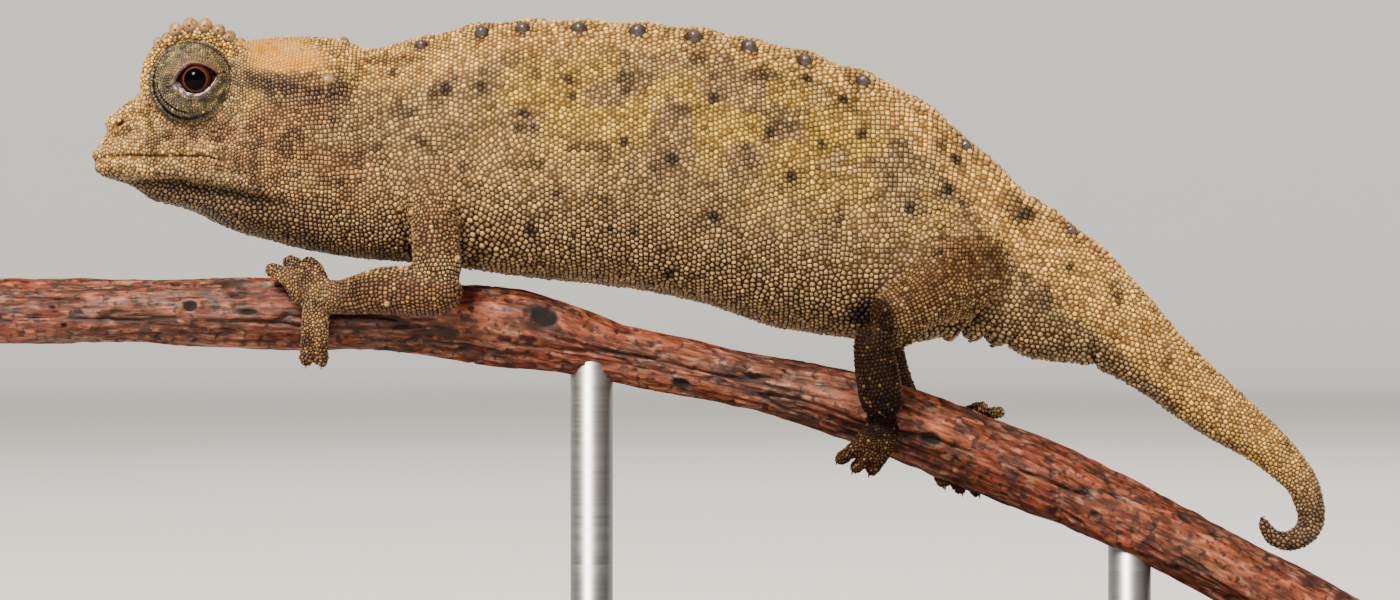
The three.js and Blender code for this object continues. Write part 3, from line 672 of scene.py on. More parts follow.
VOXEL = 0.20  # mm, before the places in DETAIL are cut finer
EVEN_OUT = (0.5, -0.53) * 3
DRAW_SMOOTH = (0.6,) * 40
SKIN_POINTS, SKIN_QUADS = wrapped(flesh(), VOXEL)
SKIN_POINTS = smoothed(SKIN_POINTS, SKIN_QUADS, EVEN_OUT)
SKIN_POINTS = smoothed(SKIN_POINTS, SKIN_QUADS, DRAW_SMOOTH, joint_share(SKIN_POINTS))
SKIN_NORMALS = vertex_normals(SKIN_POINTS, SKIN_QUADS)
SKIN_ALONG, SKIN_UP, _ = body_place(SKIN_POINTS)
# How deep each point lies in a crease, the nostril or the groove round the turret's lower front, from 0 to
# 1: the skin and its scales are darkened by it as painted shade.
FOLD, SKIN_CREASE_SHADE, SKIN_BARE = folds(SKIN_POINTS)
GAP = turret_gap(SKIN_POINTS)
ROUND_EYE = np.arctan2(SKIN_POINTS[:, 2] - EYE[2], SKIN_POINTS[:, 0] - EYE[0])
LOW_FRONT = bell(turned_from(ROUND_EYE, 212), 0.75)
RING = bell(GAP - TURRET[0] - 0.22, 0.07) * LOW_FRONT
SKIN_CREASE_SHADE = np.maximum(SKIN_CREASE_SHADE, 0.9 * RING)
SKIN_POINTS = SKIN_POINTS + SKIN_NORMALS * (
    FOLD + back_waves(SKIN_POINTS, SKIN_ALONG, SKIN_UP) - 0.10 * bell(GAP - TURRET[0] + 0.10, 0.12)
    - 0.14 * RING + 0.05 * bell(GAP - TURRET[0] - 0.42, 0.10) * LOW_FRONT
)[:, None]
SKIN_NORMALS = vertex_normals(SKIN_POINTS, SKIN_QUADS)
SKIN_TREE = BVHTree.FromPolygons(SKIN_POINTS.tolist(), SKIN_QUADS.tolist())
print("skin", len(SKIN_POINTS), "vertices", 2 * len(SKIN_QUADS), "triangles")


def nearest_on(tree, quads, normals, points):
    """The nearest place on a surface to each point, the smooth normal there and the face it is on."""
    hits = [tree.find_nearest(p) for p in points.tolist()]
    places = np.array([h[0] for h in hits])
    face = np.array([h[2] for h in hits])
    return places, unit(normals[quads[face]].sum(1)), face


def on_skin(points):
    """The same for the skin."""
    return nearest_on(SKIN_TREE, SKIN_QUADS, SKIN_NORMALS, points)


# ---- Colours and markings ----------------------------------------------------------------------


def linear(code):
    """An sRGB hex colour as linear red, green, blue and alpha 1."""
    parts = np.array([int(code[k:k + 2], 16) for k in (0, 2, 4)]) / 255
    parts = np.where(parts > 0.04045, ((parts + 0.055) / 1.055) ** 2.4, parts / 12.92)
    return (*parts.tolist(), 1.0)


# Places in the side view, as x and z.
UPPER_ARM, ARM_ROOT, ARMPIT = (17.6, -3.9), (17.4, -3.4), (19.9, -4.1)
# The near ankle is darkened as painted shadow, and the far toes are lightened as painted light.
NEAR_HAND, LIT_FAR_TOES, ANKLE_SHADOW = (10.4, -8.0), (46.4, -13.0), (40.5, -13.3)
# The chin line runs under the jaw, where the skin is darkened as painted shade.
CHIN_SHADE_LINE = [(1.5, -1.9), (5.0, -1.9), (9.0, -2.9)]
THIGH_LINE = [(44.6, -5.4), (42.4, -7.2), (40.2, -8.5)]
# Along the shin line the near shank is darkened as painted shadow.
SHIN_SHADOW_LINE = [(39.9, -8.4), (40.0, -11.0), (40.6, -13.4)]
# Dark spots on the left flank as x, z and radius in mm. The right flank has them a little shifted.
SPOTS = [
    (15.5, 4.2, 0.34), (18.2, 3.4, 0.36), (20.0, 3.5, 0.34), (24.5, 3.8, 0.36), (24.7, 2.9, 0.24),
    (22.3, 2.1, 0.30), (17.0, 0.6, 0.28), (31.9, 2.8, 0.28), (27.3, 0.6, 0.26), (29.7, -0.3, 0.36),
    (23.9, -2.1, 0.28), (22.6, -3.8, 0.36), (26.6, -3.8, 0.26), (27.8, -3.9, 0.26),
    (31.8, -3.2, 0.36), (29.6, -6.1, 0.36), (35.8, -1.2, 0.40), (39.4, 1.0, 0.30),
    (37.4, 0.5, 0.26), (34.8, 1.1, 0.30), (38.5, 2.9, 0.30), (41.9, -2.7, 0.32),
    (43.8, -1.8, 0.28), (44.3, -0.2, 0.30), (50.1, -5.8, 0.30),
    (36.6, 3.9, 0.26), (47.9, -3.0, 0.42),
]
BLOTCHES = [  # x, z and size of the rusty patches on the cheek and throat
    (9.2, 1.1, 0.9), (12.0, 1.9, 0.5), (11.2, -0.3, 0.7), (8.2, -0.4, 0.6), (11.6, -3.5, 0.8),
    (7.0, 1.0, 0.6), (13.6, -1.2, 0.7),
]
CONES_X = (16.9, 20.0, 22.1, 25.0, 28.0, 30.9, 33.7, 36.6, 39.5, 44.0, 48.4)  # on each side of the back
CONE_ANGLE = math.radians(24)


def cone_roots():
    """The roots of the row of cones on each side of the back, on the smooth body, going round from
    the top by CONE_ANGLE, as x, y, z."""
    t = np.interp(CONES_X, LINE[BEFORE_CURL, 0], FINE[BEFORE_CURL])
    return np.vstack([body_at(t, side * CONE_ANGLE, -COAT) for side in (-1, 1)])


def markings(points):
    """How much of each marking there is at each point, from 0 to 1, as two colours. marks: cream on
    the back and tail; dark spots and eye stripe, with painted shade under the belly, chin and throat
    and painted shadow on the near shank, ankle and low feet; rust on cheek and arm, and along the
    belly's underside partly as painted shade; the pale, smooth patch on the crown. more_marks: yellow
    on the upper flank; pale beads on dark ground below; grey on the stripe and tail tip; the limbs'
    brown, less on the hands and, as painted light, on the far toes. Edges are broken up by noise."""
    x, y, z = points.T
    along, up, _ = body_place(points)
    rough = noise(points, 0.8) - 0.5
    speckle = noise(points + 31, 0.42) - 0.5
    side = np.sign(y)
    limb = np.maximum(smooth(-z + np.interp(x, [10, 20, 36, 46], [-5.4, -6.4, -9.2, -9.6]), 0, 0.5),
                      bell(side_gap(points, UPPER_ARM), 1.5) * (np.abs(y) > 2.9))
    thigh = bell(path_distance(points[:, ::2], THIGH_LINE)[0], 1.9)
    limb = np.maximum(limb, 0.85 * thigh * (np.abs(y) > 2.4) * (z < -4.2))
    limb = limb * (x < 47.4) * (x > 7)
    hand = 1 - smooth(side_gap(points, NEAR_HAND), 1.8, 3.6)
    # Painted light: the far toes over the twig are kept pale, with less of the limbs' brown.
    lit_far_toes = bell(side_gap(points, LIT_FAR_TOES), 1.5) * (y > 0)
    hand = np.maximum(hand, 1.5 * lit_far_toes)

    edge = np.interp(x, [0, 6, 9, 12, 15, 18, 22, 31, 38, 42, 46, 50, 54, 58],
                     [0.55, 0.72, 0.80, 0.72, 0.46, 0.56, 0.72, 0.83, 0.76, 0.62, 0.30, -0.15, -0.6, -0.9])
    cream = smooth(up + 0.16 * rough + 0.10 * speckle, edge - 0.09, edge + 0.12)
    patch = np.hypot((x - 10.0) / 2.4, (z - 5.10 + 0.16 * (x - 10.0)) / 1.02) + 0.40 * rough
    casque = (1 - smooth(patch, 0.66, 1.10)) * (z > 3.4)
    crown = np.hypot((x - 10.7) / 2.5, (z - 5.1 + 0.10 * (x - 10.7)) / 1.05)
    cream = np.maximum(cream, smooth(-crown, -1.12, -0.85) * (z > 3.4))
    cream = np.maximum(cream, 0.75 * (1 - smooth(x, 2.0, 4.6)) * (0.75 + 0.9 * rough))
    lips = bell(z - 0.10, 0.42) * smooth(x, 0.3, 1.0) * (1 - smooth(x, 5.5, 7.2))
    cream = np.maximum(cream, 0.6 * lips)
    cream = np.maximum(cream, 0.8 * bell(side_gap(points, BROW[::2]) - 3.0, 0.42) * (z > 2.2))
    cream = cream * (1 - 0.85 * smooth(along, 64.5, 70.0) * (z < -12)) * (1 - limb)

    middle = np.interp(x, [7, 10, 13.4], [3.75, 3.35, 2.75])
    stripe = bell(z - middle + 0.5 * rough, 0.72)
    stripe = stripe * smooth(x, 7.2, 7.9) * (1 - smooth(x, 11.8, 14.0)) * (1 - casque)
    dark = 0.50 * stripe * smooth(noise(points + 5, 0.6), 0.42, 0.62)
    for cx, cz, radius in SPOTS:
        shift = np.where(side < 0, 0.0, 0.9 * np.sin(cx * 2.3))
        gap = np.hypot(x - cx - shift, z - cz + 0.6 * shift) + 0.30 * speckle
        dark = np.maximum(dark, 0.93 * (1 - smooth(gap, 0.60 * radius, 1.25 * radius)))
        dark = np.maximum(dark, 0.34 * bell(gap, radius * 2.0))
    small = noise(points + 71, 0.9)
    dark = np.maximum(dark, 0.55 * smooth(small, 0.74, 0.80) * smooth(up, -0.7, -0.2))
    face = (1 - smooth(x, 13.5, 16.5)) * smooth(x, 0.5, 3.0)
    mottle = 0.6 * noise(points + 83, 0.45) + 0.4 * noise(points + 91, 0.9)
    dark = np.maximum(dark, 0.54 * face * smooth(mottle, 0.54, 0.72) * (1 - casque))
    # Painted shade: the underside is darkened, most under the chin and throat, and so is the hips' lower
    # half.
    under = smooth(-up, 0.35, 0.85) * (1 - smooth(x, 44, 48)) * (1 - limb)
    dark = np.maximum(dark, (0.28 + 0.38 * (1 - smooth(x, 10, 15))) * under)
    dark = np.maximum(dark, 0.20 * smooth(x, 41, 45) * smooth(-up, -0.6, 0.1))
    dark = np.maximum(dark, 0.15 * smooth(x, 53, 59))
    # Painted shade along the chin line under the jaw.
    chin_shade_gap = path_distance(points[:, ::2], CHIN_SHADE_LINE)[0]
    dark = np.maximum(dark, 0.74 * bell(chin_shade_gap, 0.62))

    rust = np.zeros_like(x)
    for cx, cz, size in BLOTCHES:
        rust = np.maximum(rust, 0.78 * bell(np.hypot(x - cx, z - cz) + 0.9 * rough, size))
    rust = np.maximum(rust, 0.50 * face * smooth(x, 2.6, 6.0) * smooth(noise(points + 17, 1.1), 0.40, 0.64))
    rust = np.maximum(rust, 0.6 * bell(side_gap(points, ARM_ROOT), 1.9))
    # Rust along the belly's underside: partly its own colour, partly painted shade.
    rust = np.maximum(rust, smooth(-up, 0.90, 1.0) * smooth(x, 18, 22) * (1 - smooth(x, 41, 44))
                      * (np.abs(y) < 2.6) * (1 - limb))
    rust = rust * (1 - 0.7 * cream)

    yellow = bell(up - 0.38, 0.46) * smooth(x, 16, 24) * (1 - smooth(x, 41, 48))
    yellow = yellow * smooth(noise(points + 3, 1.9) + 0.25 * speckle, 0.36, 0.64)

    bead = smooth(-up - 0.25 * rough, 0.22, 0.75) * (1 - 0.6 * smooth(x, 43, 48))
    bead = np.maximum(bead, 0.8 * bell(side_gap(points, ARMPIT), 1.5))
    bead = bead * (1 - 0.8 * limb) * smooth(x, 1.5, 4.5) * (1 - smooth(x, 52, 56))

    # Painted shadow: the near shank, its ankle and the low feet are darkened, over the hind legs' own dark
    # brown.
    shin_shadow_gap = path_distance(points[:, ::2], SHIN_SHADOW_LINE)[0]
    dark = np.maximum(dark, 0.93 * (1 - smooth(shin_shadow_gap + 0.3 * rough, 0.9, 1.5)) * (np.abs(y) > 2.2)
                      * (side < 0))
    ankle_shadow_gap = side_gap(points, ANKLE_SHADOW) + 0.4 * rough
    dark = np.maximum(dark, 0.98 * (1 - smooth(ankle_shadow_gap, 1.1, 1.8)) * (side < 0) * (np.abs(y) > 1.5))
    dark = np.maximum(dark, 0.60 * limb * (z < -13.5))
    dark = np.maximum(dark, 0.32 * limb * (x > 36))
    # Painted light: no dark on the far toes.
    dark = dark * (1 - lit_far_toes)
    grey = np.maximum(0.75 * stripe, 0.85 * smooth(along, 66.0, 70.5) * (z < -14))
    near_cone = np.full(len(points), 99.0)
    for root in cone_roots():
        near_cone = np.minimum(near_cone, np.linalg.norm(points - root, axis=1))
    dark = np.maximum(dark, 0.50 * bell(near_cone + 0.4 * speckle, 0.66))
    return {
        "marks": np.stack([cream, dark, rust, casque], axis=1),
        "more_marks": np.stack([yellow, bead, grey, limb * (1 - np.minimum(0.62 * hand, 0.85))], axis=1),
    }


def add(tree, kind, inputs=None, stops=None, **settings):
    """Adds one node. Settings are its own values, inputs are values or other nodes' outputs by the
    socket's name or number, and stops are the places and colours of a colour ramp."""
    made = tree.nodes.new("ShaderNode" + kind)
    for key, value in settings.items():
        setattr(made, key, value)
    for key, value in (inputs or {}).items():
        if isinstance(value, bpy.types.NodeSocket):
            tree.links.new(value, made.inputs[key])
        else:
            made.inputs[key].default_value = value
    if stops:
        ramp = made.color_ramp
        ramp.elements[0].position, ramp.elements[1].position = stops[0][0], stops[-1][0]
        for place, _ in stops[1:-1]:
            ramp.elements.new(place)
        for element, (_, colour) in zip(ramp.elements, stops):
            element.color = colour
    return made


def per_mm(size):
    """The scale that makes a pattern on coordinates in metres repeat every size mm."""
    return 1 / (size * MM)


def finish(name):
    """A new material and its node tree, with an output whose surface is still open."""
    made = bpy.data.materials.new(name)
    made.use_nodes = True
    made.node_tree.nodes.clear()
    return made, made.node_tree, made.node_tree.nodes.new("ShaderNodeOutputMaterial")


def mixed(tree, a, b, factor, mode="MIX"):
    """Colour a turned to b by factor, or multiplied by it, as one output."""
    return add(tree, "Mix", {0: factor, 6: a, 7: b}, data_type="RGBA", blend_type=mode).outputs[2]


def ranged(tree, value, low, high, to_low=0.0, to_high=1.0):
    """A value's range low to high brought to another range, and held there."""
    return add(tree, "MapRange", {0: value, 1: low, 2: high, 3: to_low, 4: to_high}).outputs[0]


def joined_values(tree, how, a, b):
    """Two values multiplied, or the larger of the two."""
    return add(tree, "Math", {0: a, 1: b}, operation=how).outputs[0]


def toned(tree, colour, red, green, blue):
    """A colour with its red, green and blue multiplied."""
    return mixed(tree, colour, (red, green, blue, 1), 1.0, "MULTIPLY")


def attribute(tree, name, output="Fac"):
    """What a piece's mesh says about a point, under that name."""
    return add(tree, "Attribute", attribute_name=name).outputs[output]


def object_place(tree):
    """Where a point is, in metres."""
    return add(tree, "TexCoord").outputs["Object"]


def clouds(tree, place, size, detail):
    """Soft random patches about size mm across, from 0 to 1."""
    scale = per_mm(size)
    return add(tree, "TexNoise", {"Vector": place, "Scale": scale, "Detail": detail}).outputs[0]


def surfaced(made, tree, out, inputs):
    """The material, closed with a principled surface of those inputs."""
    shader = add(tree, "BsdfPrincipled", inputs)
    tree.links.new(shader.outputs[0], out.inputs[0])
    return made


# Granular reptile skin: dry, finely wrinkled keratin over pigment. Each granule is paler on its
# crown than in the groove round it, partly its own colour and partly a painted highlight over
# painted shade, and shines softly.
TONES = {
    "tan": linear("7E6748"), "olive": linear("5A4C32"), "umber": linear("3C2512"),
    "cream": linear("9D7D48"), "casque": linear("A4711F"), "rust": linear("6B462E"),
    "yellow": linear("8D7534"), "grey": linear("47352B"), "limb": linear("4B301C"),
    "dark": linear("160B05"), "bead": linear("846C4A"), "ground": linear("1A0F07"),
    "straw": linear("7A6844"),
}


def stained(tree, colour, stains):
    """A colour with stains laid over it in turn. Each has its colour, the value that it follows, the
    values between which it comes in, and how strong it gets."""
    for code, value, low, high, most in stains:
        colour = mixed(tree, colour, linear(code), ranged(tree, value, low, high, 0, most))
    return colour


def tinted(tree, colour, low, high, value):
    """A colour made darker or lighter, from low to high, by a value from 0 to 1."""
    shade = ranged(tree, value, 0, 1, low, high)
    grey = add(tree, "CombineColor", {0: shade, 1: shade, 2: shade}).outputs[0]
    return mixed(tree, colour, grey, 1.0, "MULTIPLY")


def skin_tones(tree, place, crown):
    """The animal's colours where place says, for the skin and for its scales alike. crown is 1 on top
    of a granule and 0 in the groove round it."""
    marks = add(tree, "Attribute", attribute_name="marks")
    cream, dark, rust = add(tree, "SeparateColor", {0: marks.outputs["Color"]}).outputs[:3]
    casque = marks.outputs["Alpha"]
    more = add(tree, "Attribute", attribute_name="more_marks")
    yellow, bead, grey = add(tree, "SeparateColor", {0: more.outputs["Color"]}).outputs[:3]
    limb = more.outputs["Alpha"]
    wide, middle, fine = (clouds(tree, place, size, 3.0) for size in (3.0, 1.4, 0.6))
    colour = mixed(tree, TONES["tan"], TONES["olive"], ranged(tree, wide, 0.40, 0.66, 0.05, 0.62))
    colour = mixed(tree, colour, TONES["yellow"], yellow)
    colour = mixed(tree, colour, TONES["umber"], ranged(tree, middle, 0.52, 0.72, 0, 0.24))
    colour = mixed(tree, colour, TONES["rust"], rust)
    colour = mixed(tree, colour, TONES["cream"], cream)
    colour = mixed(tree, colour, TONES["umber"], ranged(tree, fine, 0.60, 0.72, 0, 0.45))
    colour = mixed(tree, colour, TONES["limb"], limb)
    colour = mixed(tree, colour, TONES["grey"], grey)
    beads = mixed(tree, TONES["ground"], TONES["bead"], crown)
    colour = mixed(tree, colour, beads, ranged(tree, bead, 0, 1, 0, 0.60))
    stain = joined_values(tree, "MAXIMUM", fine, middle)
    worn = joined_values(tree, "MULTIPLY", casque, ranged(tree, stain, 0.54, 0.66, 1.0, 0.25))
    colour = mixed(tree, colour, TONES["casque"], worn)
    blotch = joined_values(tree, "MULTIPLY", casque, ranged(tree, fine, 0.56, 0.68, 0, 0.75))
    colour = mixed(tree, colour, TONES["rust"], blotch)
    colour = mixed(tree, colour, TONES["dark"], dark)
    return tinted(tree, colour, 0.70, 1.30, ranged(tree, fine, 0.3, 0.7))


def granular_skin():
    """The skin between the granules: darker, partly its own ground and partly painted shade, and
    near black in creases as painted shade, with wrinkles 0.12 mm apart.
    """
    made, tree, out = finish("granular_reptile_skin")
    place = object_place(tree)
    casque = attribute(tree, "marks", "Alpha")
    colour = skin_tones(tree, place, 0.0)
    deep = attribute(tree, "deep")
    # Darker than the granules: partly the skin's own ground, partly painted shade between them.
    groove_shade = toned(tree, colour, 0.40, 0.33, 0.26)
    colour = mixed(tree, groove_shade, colour, ranged(tree, casque, 0, 1, 0, 0.85))
    # Near black in creases: painted shade.
    colour = mixed(tree, colour, linear("170E09"), ranged(tree, deep, 0.3, 1, 0, 0.75))
    wrinkles = add(tree, "TexVoronoi", {"Vector": place, "Scale": per_mm(0.12)}).outputs[0]
    bump = add(tree, "Bump", {"Strength": 0.4, "Distance": 0.03 * MM, "Height": wrinkles}).outputs[0]
    return surfaced(made, tree, out, {
        "Base Color": colour, "Roughness": 0.64, "Specular IOR Level": 0.10, "Normal": bump})


def granule_coat(name, level):
    """The granules: each has its own tone, is paler on its crown, partly as a painted highlight, and
    darker at its rim and in creases as painted shade, and shines like dry keratin. One in seven is
    nearly bare of pigment and straw coloured, and some are brown."""
    made, tree, out = finish(name)
    place = attribute(tree, "root", "Vector")
    rise, own, deep = (attribute(tree, key) for key in ("rise", "own", "deep"))
    marks = add(tree, "Attribute", attribute_name="marks")
    casque = marks.outputs["Alpha"]
    limb = attribute(tree, "more_marks", "Alpha")
    crown = ranged(tree, rise, 0.1, 0.8)
    colour = skin_tones(tree, place, crown)
    dark = add(tree, "SeparateColor", {0: marks.outputs["Color"]}).outputs[1]
    bright = joined_values(
        tree, "MULTIPLY", ranged(tree, dark, 0, 0.8, 0.35, 0.12), ranged(tree, own, 0.92, 0.97))
    gem = joined_values(tree, "MULTIPLY", limb, bright)
    colour = mixed(tree, colour, TONES["straw"], gem)
    straw = toned(tree, colour, 1.5, 1.5, 1.30)
    colour = mixed(tree, colour, straw, ranged(tree, own, 0.80, 0.90))
    brown = toned(tree, colour, 0.50, 0.42, 0.36)
    colour = mixed(tree, colour, brown, ranged(tree, own, 0.34, 0.10, 0, 0.9))
    colour = tinted(tree, colour, 0.80, 1.22, own)
    # Darker rim and paler crown: painted shade and painted highlight over the granule's own colour.
    rim = toned(tree, colour, 0.42, 0.35, 0.28)
    top = toned(tree, colour, 1.28, 1.28, 1.24)
    flat = joined_values(tree, "MAXIMUM", crown, ranged(tree, casque, 0, 1, 0, 0.6))
    flat = joined_values(tree, "MAXIMUM", flat, ranged(tree, limb, 0, 1, 0, 0.45))
    colour = mixed(tree, rim, top, flat)
    # Near black in creases: painted shade.
    colour = mixed(tree, colour, linear("170E09"), ranged(tree, deep, 0.4, 1, 0, 0.7))
    rough = joined_values(
        tree, "MAXIMUM", ranged(tree, own, 0, 1, 0.27, 0.42), ranged(tree, dark, 0.3, 1, 0, 0.62))
    return surfaced(made, tree, out, {
        "Base Color": colour, "Roughness": rough, "Specular IOR Level": level})


SKIN_FINISH = granular_skin()
COAT_FINISH = granule_coat("keratin_granules", 0.30)
LEG_FINISH = granule_coat("dull_keratin_granules", 0.06)

FLESH = ["head", "neck", "trunk", "tail_base", "tail_middle", "tail_end"] + [
    f"{name}_{label}"
    for name in ("upper_arm", "forearm", "forefoot", "thigh", "shank", "hindfoot")
    for label in ("left", "right")
]
piece(
    "skin", (SKIN_POINTS, SKIN_QUADS, np.empty((0, 3), int)), SKIN_FINISH,
    {**markings(SKIN_POINTS), "deep": SKIN_CREASE_SHADE}, FLESH,
)

# ---- The coat of scales ------------------------------------------------------------------------

SIDES = 8  # corners of a scale's outline
ROW_STEP = 0.87  # how far apart rows of scales are, as a share of their pitch: sin 60 degrees
PATCH = 0.0015  # half width of a scale on its piece's OFBake map
TURN = np.linspace(0, 2 * np.pi, SIDES, endpoint=False)
FINE_TOES = (  # where the toes' fine scales are, how far round that, and on which side
    (NEAR_HAND, 2.2, -1), ((14.7, -8.3), 1.6, 1), ((39.6, -15.4), 1.4, -1), ((45.5, -14.9), 2.7, 1),
)
# Profiles from the root to the crown as (share of the outline, share of the height).
GRANULE = ((1.0, -0.35), (0.70, 0.66))
BEAD = ((1.0, -0.35), (0.88, 0.42), (0.52, 0.88))
CONE = ((1.0, -0.25), (0.86, 0.22), (0.62, 0.55), (0.36, 0.82))
KNOB = ((0.84, -0.10), (1.02, 0.10), (1.02, 0.32), (0.91, 0.60), (0.68, 0.83), (0.35, 0.97))


def pitch_at(points, up, limb):
    """How far apart scales are, in mm: as on the flank, but coarser along the back and belly, finer
    on the shoulders, the limbs and towards the tail tip, and finest on the face and toes."""
    x, y, z = points.T
    pitch = np.full(len(points), 0.262)
    pitch += 0.050 * smooth(up, 0.66, 0.9) * smooth(x, 19, 24)
    pitch += 0.012 * smooth(-up, 0.35, 0.8)
    pitch += 0.030 * bell(side_gap(points, ARMPIT), 1.8)
    pitch = blend(pitch, 0.225, 1 - smooth(x, 16.0, 20.0))
    pitch = blend(pitch, 0.180, (1 - smooth(x, 8.0, 12.5)) * smooth(up, -0.75, -0.35))
    pitch = blend(pitch, 0.165, bell(turret_gap(points) - 2.4, 0.7))
    pitch = blend(pitch, 0.20, smooth(x, 54, 64) * (z < -9))
    pitch = blend(pitch, 0.200, limb)
    toe = np.zeros(len(points))
    for place, near, side in FINE_TOES:
        gap = side_gap(points, place)
        toe = np.maximum(toe, (1 - smooth(gap, near, near + 1.1)) * (side * y > 0))
    return blend(pitch, 0.150, toe * limb)


def limb_share(points, up, t):
    """1 on the limbs and 0 on the body: the limbs stand outside the body's cross-section."""
    wide = through(ROWS, t)[:, 4]
    out = np.hypot(up, points[:, 1] / wide)
    return smooth(out, 1.06, 1.22) * (points[:, 2] < -2.2) * (points[:, 0] > 8) * (points[:, 0] < 47.5)


def rings_of_places(surface, stations, pitch):
    """Places for scales in rings round a surface, evenly spaced by the pitch and laid as bricks."""
    angle = np.linspace(0, 2 * np.pi, 181)
    found = []
    for row, t in enumerate(stations):
        ring = surface(t, angle)
        step = np.linalg.norm(np.diff(ring, axis=0), axis=1)
        room = pitch(t, (angle[1:] + angle[:-1]) / 2)
        count = np.concatenate([[0], np.cumsum(step / room)])
        number = max(3, round(count[-1]))
        wanted = bricks(number, row, count[-1])
        found.append(surface(t, np.interp(wanted, count, angle)))
    return np.vstack(found)


def body_pitch(t, angle):
    """How far apart scales are on the body, at station t and going round by angle."""
    points = body_at(np.full_like(angle, t), angle)
    return pitch_at(points, np.cos(angle), 0 * angle)


def body_rings():
    """Rings of places along the body, as far apart as bricks of the flank's pitch are."""
    stations, here = [], 0.25
    while here < ALONG[-1] - 0.1:
        t = np.interp(here, ALONG, FINE)
        stations.append(t)
        here += ROW_STEP * float(body_pitch(t, np.array([1.5]))[0])
    return rings_of_places(lambda t, a: body_at(np.full_like(a, t), a), stations, body_pitch)


def limb_rings(places, pitch):
    """Rings of places round a limb."""
    places = np.asarray(places, float)
    fine = np.linspace(0, 1, 200)
    line = through(places, fine)[:, :3]
    length = np.linalg.norm(np.diff(line, axis=0), axis=1).sum()
    number = max(4, round(length / (ROW_STEP * pitch)))
    grid = tube(places, number, 72, -LIMB_COAT)

    def surface(t, angle):
        """The limb's surface at share t of its rings, going round by angle."""
        ring = grid[int(round(t * (number - 1)))]
        turn = np.linspace(0, 2 * np.pi, 73)
        ring = np.vstack([ring, ring[:1]])
        return np.stack([np.interp(angle, turn, ring[:, k]) for k in range(3)], axis=-1)

    return rings_of_places(surface, np.linspace(0, 1, number), lambda t, a: pitch + 0 * a)


SHOULDER = (17.6, -2.3)  # x and z of the joint that the arcs of scales lie about
ARC_RADII = np.arange(1.2, 5.6, 0.235)
ARC_PITCH = 0.265


def shoulder_arcs(side):
    """Places in arcs about the shoulder joint, in which the scales behind and above the arm lie."""
    found = []
    for row, radius in enumerate(ARC_RADII):
        number = round(2 * np.pi * radius / ARC_PITCH)
        angle = bricks(number, row, 2 * np.pi)
        found.append(SHOULDER + radius * np.stack([np.cos(angle), np.sin(angle)], axis=1))
    flat = np.vstack(found)
    flat = flat[(flat[:, 1] > -5.2) & (flat[:, 0] > 15.0)]
    return cast_on_skin(flat, side)


def cast_on_skin(flat, side):
    """Where lines across the animal at (x, z) first meet the skin on one side."""
    hits = [SKIN_TREE.ray_cast(Vector((x, side * 9.0, z)), Vector((0, -side, 0))) for x, z in flat]
    return np.array([tuple(h[0]) for h in hits if h[0] is not None])


def thinned(points, rank, room):
    """Which points are left when no two are nearer than their room. Of two that are, the one of
    lower rank stays. It goes in rounds: each undecided point with no undecided neighbour of lower
    rank stays, and its neighbours go."""
    first, second, gap = pairs_within(points, room.max())
    close = gap < 0.5 * (room[first] + room[second])
    first, second = first[close], second[close]
    undecided, kept = np.ones(len(points), bool), np.zeros(len(points), bool)
    while undecided.any():
        both = undecided[first] & undecided[second]
        first, second = first[both], second[both]
        beaten = np.zeros(len(points), bool)
        beaten[first[rank[second] < rank[first]]] = True
        winners = undecided & ~beaten
        kept |= winners
        undecided &= ~winners
        undecided[second[winners[first]]] = False
    return kept


def settled(points, pitch, rounds):
    """Scales push each other apart until they are about a pitch from their neighbours: each moves
    along the skin by a share of how much too near its neighbours are."""
    for _ in range(rounds):
        first, second, gap = pairs_within(points, 1.15 * pitch.max())
        want = 0.53 * (pitch[first] + pitch[second])
        push = np.clip(want - gap, 0, None) / np.maximum(gap, 1e-6) * 0.32
        step = push[:, None] * (points[first] - points[second])
        move = np.stack([np.bincount(first, step[:, k], len(points)) for k in range(3)], axis=1)
        size = np.linalg.norm(move, axis=1, keepdims=True)
        points = points + move * np.minimum(1, 0.08 / np.maximum(size, 1e-9))
        points, normals, face = on_skin(points)
    return points, normals, face


def frames(normals):
    """Two directions along the surface at each normal, the first as near as can be to the body's."""
    along = np.array([1.0, 0.0, 0.0]) - normals * normals[:, :1]
    weak = np.linalg.norm(along, axis=1) < 0.2
    along[weak] = np.array([0.0, 0.0, 1.0]) - normals[weak] * normals[weak, 2:]
    along = unit(along)
    return along, np.cross(normals, along)


def outlines(points, normals, pitch, share=0.97):
    """How far each scale reaches towards its corners: up to where it would meet its neighbours, as
    in a honeycomb, and no more than 0.7 of its pitch, drawn in by share for the groove between."""
    first, second, gap = pairs_within(points, 1.6 * np.percentile(pitch, 99))
    same = (normals[first] * normals[second]).sum(1) > 0.1
    first, second, gap = first[same], second[same], gap[same]
    order = np.argsort(first, kind="stable")
    first, second, gap = first[order], second[order], gap[order]
    a, b = frames(normals)
    towards = (points[second] - points[first]) / gap[:, None]
    u, v = (towards * a[first]).sum(1), (towards * b[first]).sum(1)
    facing = u[:, None] * np.cos(TURN) + v[:, None] * np.sin(TURN)
    part = pitch[first] / (pitch[first] + pitch[second])
    limit = np.where(facing > 0.2, (part * gap)[:, None] / np.maximum(facing, 0.2), 9.0)
    reach = np.repeat(0.70 * pitch[:, None], SIDES, axis=1)
    owners, starts = np.unique(first, return_index=True)
    reach[owners] = np.minimum(reach[owners], np.minimum.reduceat(limit, starts, axis=0))
    return reach * share


